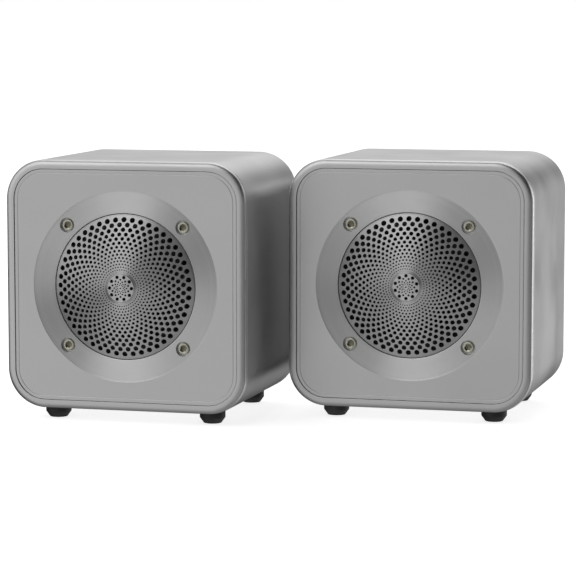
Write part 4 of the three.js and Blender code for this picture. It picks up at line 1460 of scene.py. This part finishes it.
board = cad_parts["amp_board"]
for i in range(max(1, len(board.material_slots))):
    if board.material_slots:
        board.material_slots[i].material = BOARD
    else:
        board.data.materials.append(BOARD)
cans, legs, coils = board_parts()
put_right("board_parts", cans, SOCKET_PLASTIC, "socket_plastic", stands_for=())
put_right("board_metal", legs, NICKEL, "plated_steel", stands_for=())
put_right("board_coils", coils, COPPER, "coil_copper", stands_for=())
put_right("audio_socket", jack(AUDIO_X), [SOCKET_PLASTIC, NICKEL], "socket_plastic")
put_right("dc_inlet", dc_inlet(DC_X), [SOCKET_PLASTIC, NICKEL], "socket_plastic")
put_right("power_switch_frame", switch_frame(), SWITCH_PLASTIC, "switch_plastic")

bushing = [
    (3.3, 79.2), (3.3, 92.5), (4.1, 92.5), *threaded(4.3, 85.2, 92.4)[::-1], (4.3, 84.9), (4.3, 79.2),
]
pot = block(8.5, 8.5, 0.8, BOARD_BACK, 85.0, 0.4) + turned(bushing, 64, closed=True)
put_right("volume_pot", pot.in_row(VOLUME_X), NICKEL, "plated_steel")
line = rounded([(0, 79.5), (3.0, 79.5, 0.2), (3.0, 103.0, 0.3), (0, 103.0)], 0.2, closed=False)
put_right("volume_shaft", turned(line, 48).in_row(VOLUME_X), NICKEL, "plated_steel", body="volume_control")
slot_tool = block(0.5, 2.0, 0.3, 105.2, 107, 0.1, 3).moved(0, 0, 5.2).rotated(y=KNOB_START)
put_right(
    "volume_knob", knob().in_row(VOLUME_X), KNOB_METAL, "knob_aluminium", body="volume_control",
    sharp=24, tools=[slot_tool.in_row(VOLUME_X)],
)
line = block(0.44, 1.94, 0.25, 105.12, 105.4, 0.05, 3).moved(0, 0, 5.2).rotated(y=KNOB_START)
put_right(
    "knob_pointer", line.in_row(VOLUME_X), MARKING, "rocker_plastic", body="volume_control",
    stands_for=(),
)
put_right("volume_ticks", ticks(), MARKING, "back_panel_plastic", stands_for=())

tilted = rocker().rotated(x=ROCKER_TILT).moved(SWITCH_X, DEPTH, ROW)
put_right(
    "power_rocker", tilted, [ROCKER_PLASTIC, MARKING], "rocker_plastic", body="power_rocker",
    sharp=30,
)

# ---------------------------------------------------------------- floor and light

floor_mesh = bpy.data.meshes.new("floor")
FLOOR_HEIGHT = -0.0002  # just under the feet
corners = [(-20, -20), (20, -20), (20, 40), (-20, 40)]
floor_mesh.from_pydata([(x, y, FLOOR_HEIGHT) for x, y in corners], [], [(0, 1, 2, 3)])
floor = bpy.data.objects.new("floor", floor_mesh)
COLLECTION.objects.link(floor)
FLOOR_GLOW = 0.8
p = Paint("floor_paint", Roughness=0.9, Metallic=0.0)
p.colour(p.blend(p.cloud(3.0, 3.0, 0.3, 0.7), (0.86, 0.86, 0.86), (0.88, 0.88, 0.88)))
p.shader.inputs["Emission Color"].default_value = (1, 1, 1, 1)
p.shader.inputs["Emission Strength"].default_value = FLOOR_GLOW
floor.data.materials.append(p.material)
floor.visible_glossy = False

# The room round the speakers, as soft patches of light: azimuth from the front towards +X,
# elevation and half angle in degrees, and strength.
AMBIENT = 0.0
PATCHES = [
    (-25, 45, 30, 1.3),
    (-25, -35, 30, 0.35),
    (-20, 0, 45, 0.45),
    (-60, 12, 32, 0.7),
    (-90, 50, 35, 0.4),
    (-150, 12, 32, 0.3),
    (0, -90, 50, 0.25),
    (45, -28, 38, 0.35),
    (110, 5, 25, 0.9),
    (135, 5, 30, 1.0),
    (135, -28, 38, 0.6),
    (180, 50, 42, 1.25),
]


def studio(ambient, patches):
    """A world that the camera sees as white, and that lights the object by soft patches."""
    world = bpy.data.worlds.new("studio")
    world.use_nodes = True
    bpy.context.scene.world = world
    nodes, links = world.node_tree.nodes, world.node_tree.links
    nodes.clear()
    direction = nodes.new("ShaderNodeTexCoord").outputs["Generated"]

    def math_node(operation, a, b):
        node = nodes.new("ShaderNodeMath")
        node.operation = operation
        for socket, value in zip(node.inputs, (a, b)):
            if isinstance(value, bpy.types.NodeSocket):
                links.new(value, socket)
            else:
                socket.default_value = value
        return node.outputs[0]

    total = ambient
    for azimuth, elevation, half, strength in patches:
        a, e = math.radians(azimuth), math.radians(elevation)
        along = nodes.new("ShaderNodeVectorMath")
        along.operation = "DOT_PRODUCT"
        links.new(direction, along.inputs[0])
        along.inputs[1].default_value = (
            math.sin(a) * math.cos(e), -math.cos(a) * math.cos(e), math.sin(e)
        )
        fade = nodes.new("ShaderNodeMapRange")
        fade.interpolation_type = "SMOOTHSTEP"
        links.new(along.outputs["Value"], fade.inputs["Value"])
        fade.inputs["From Min"].default_value = math.cos(math.radians(half))
        fade.inputs["From Max"].default_value = math.cos(math.radians(half * 0.15))
        total = math_node("ADD", math_node("MULTIPLY", fade.outputs["Result"], strength), total)
    lit = nodes.new("ShaderNodeBackground")
    links.new(total, lit.inputs["Strength"])
    lit.inputs["Color"].default_value = (1, 1, 1, 1)
    white = nodes.new("ShaderNodeBackground")
    white.inputs["Color"].default_value = (1, 1, 1, 1)
    seen = nodes.new("ShaderNodeLightPath")
    choice = nodes.new("ShaderNodeMixShader")
    links.new(seen.outputs["Is Camera Ray"], choice.inputs[0])
    links.new(lit.outputs[0], choice.inputs[1])
    links.new(white.outputs[0], choice.inputs[2])
    links.new(choice.outputs[0], nodes.new("ShaderNodeOutputWorld").inputs["Surface"])


studio(AMBIENT, PATCHES)
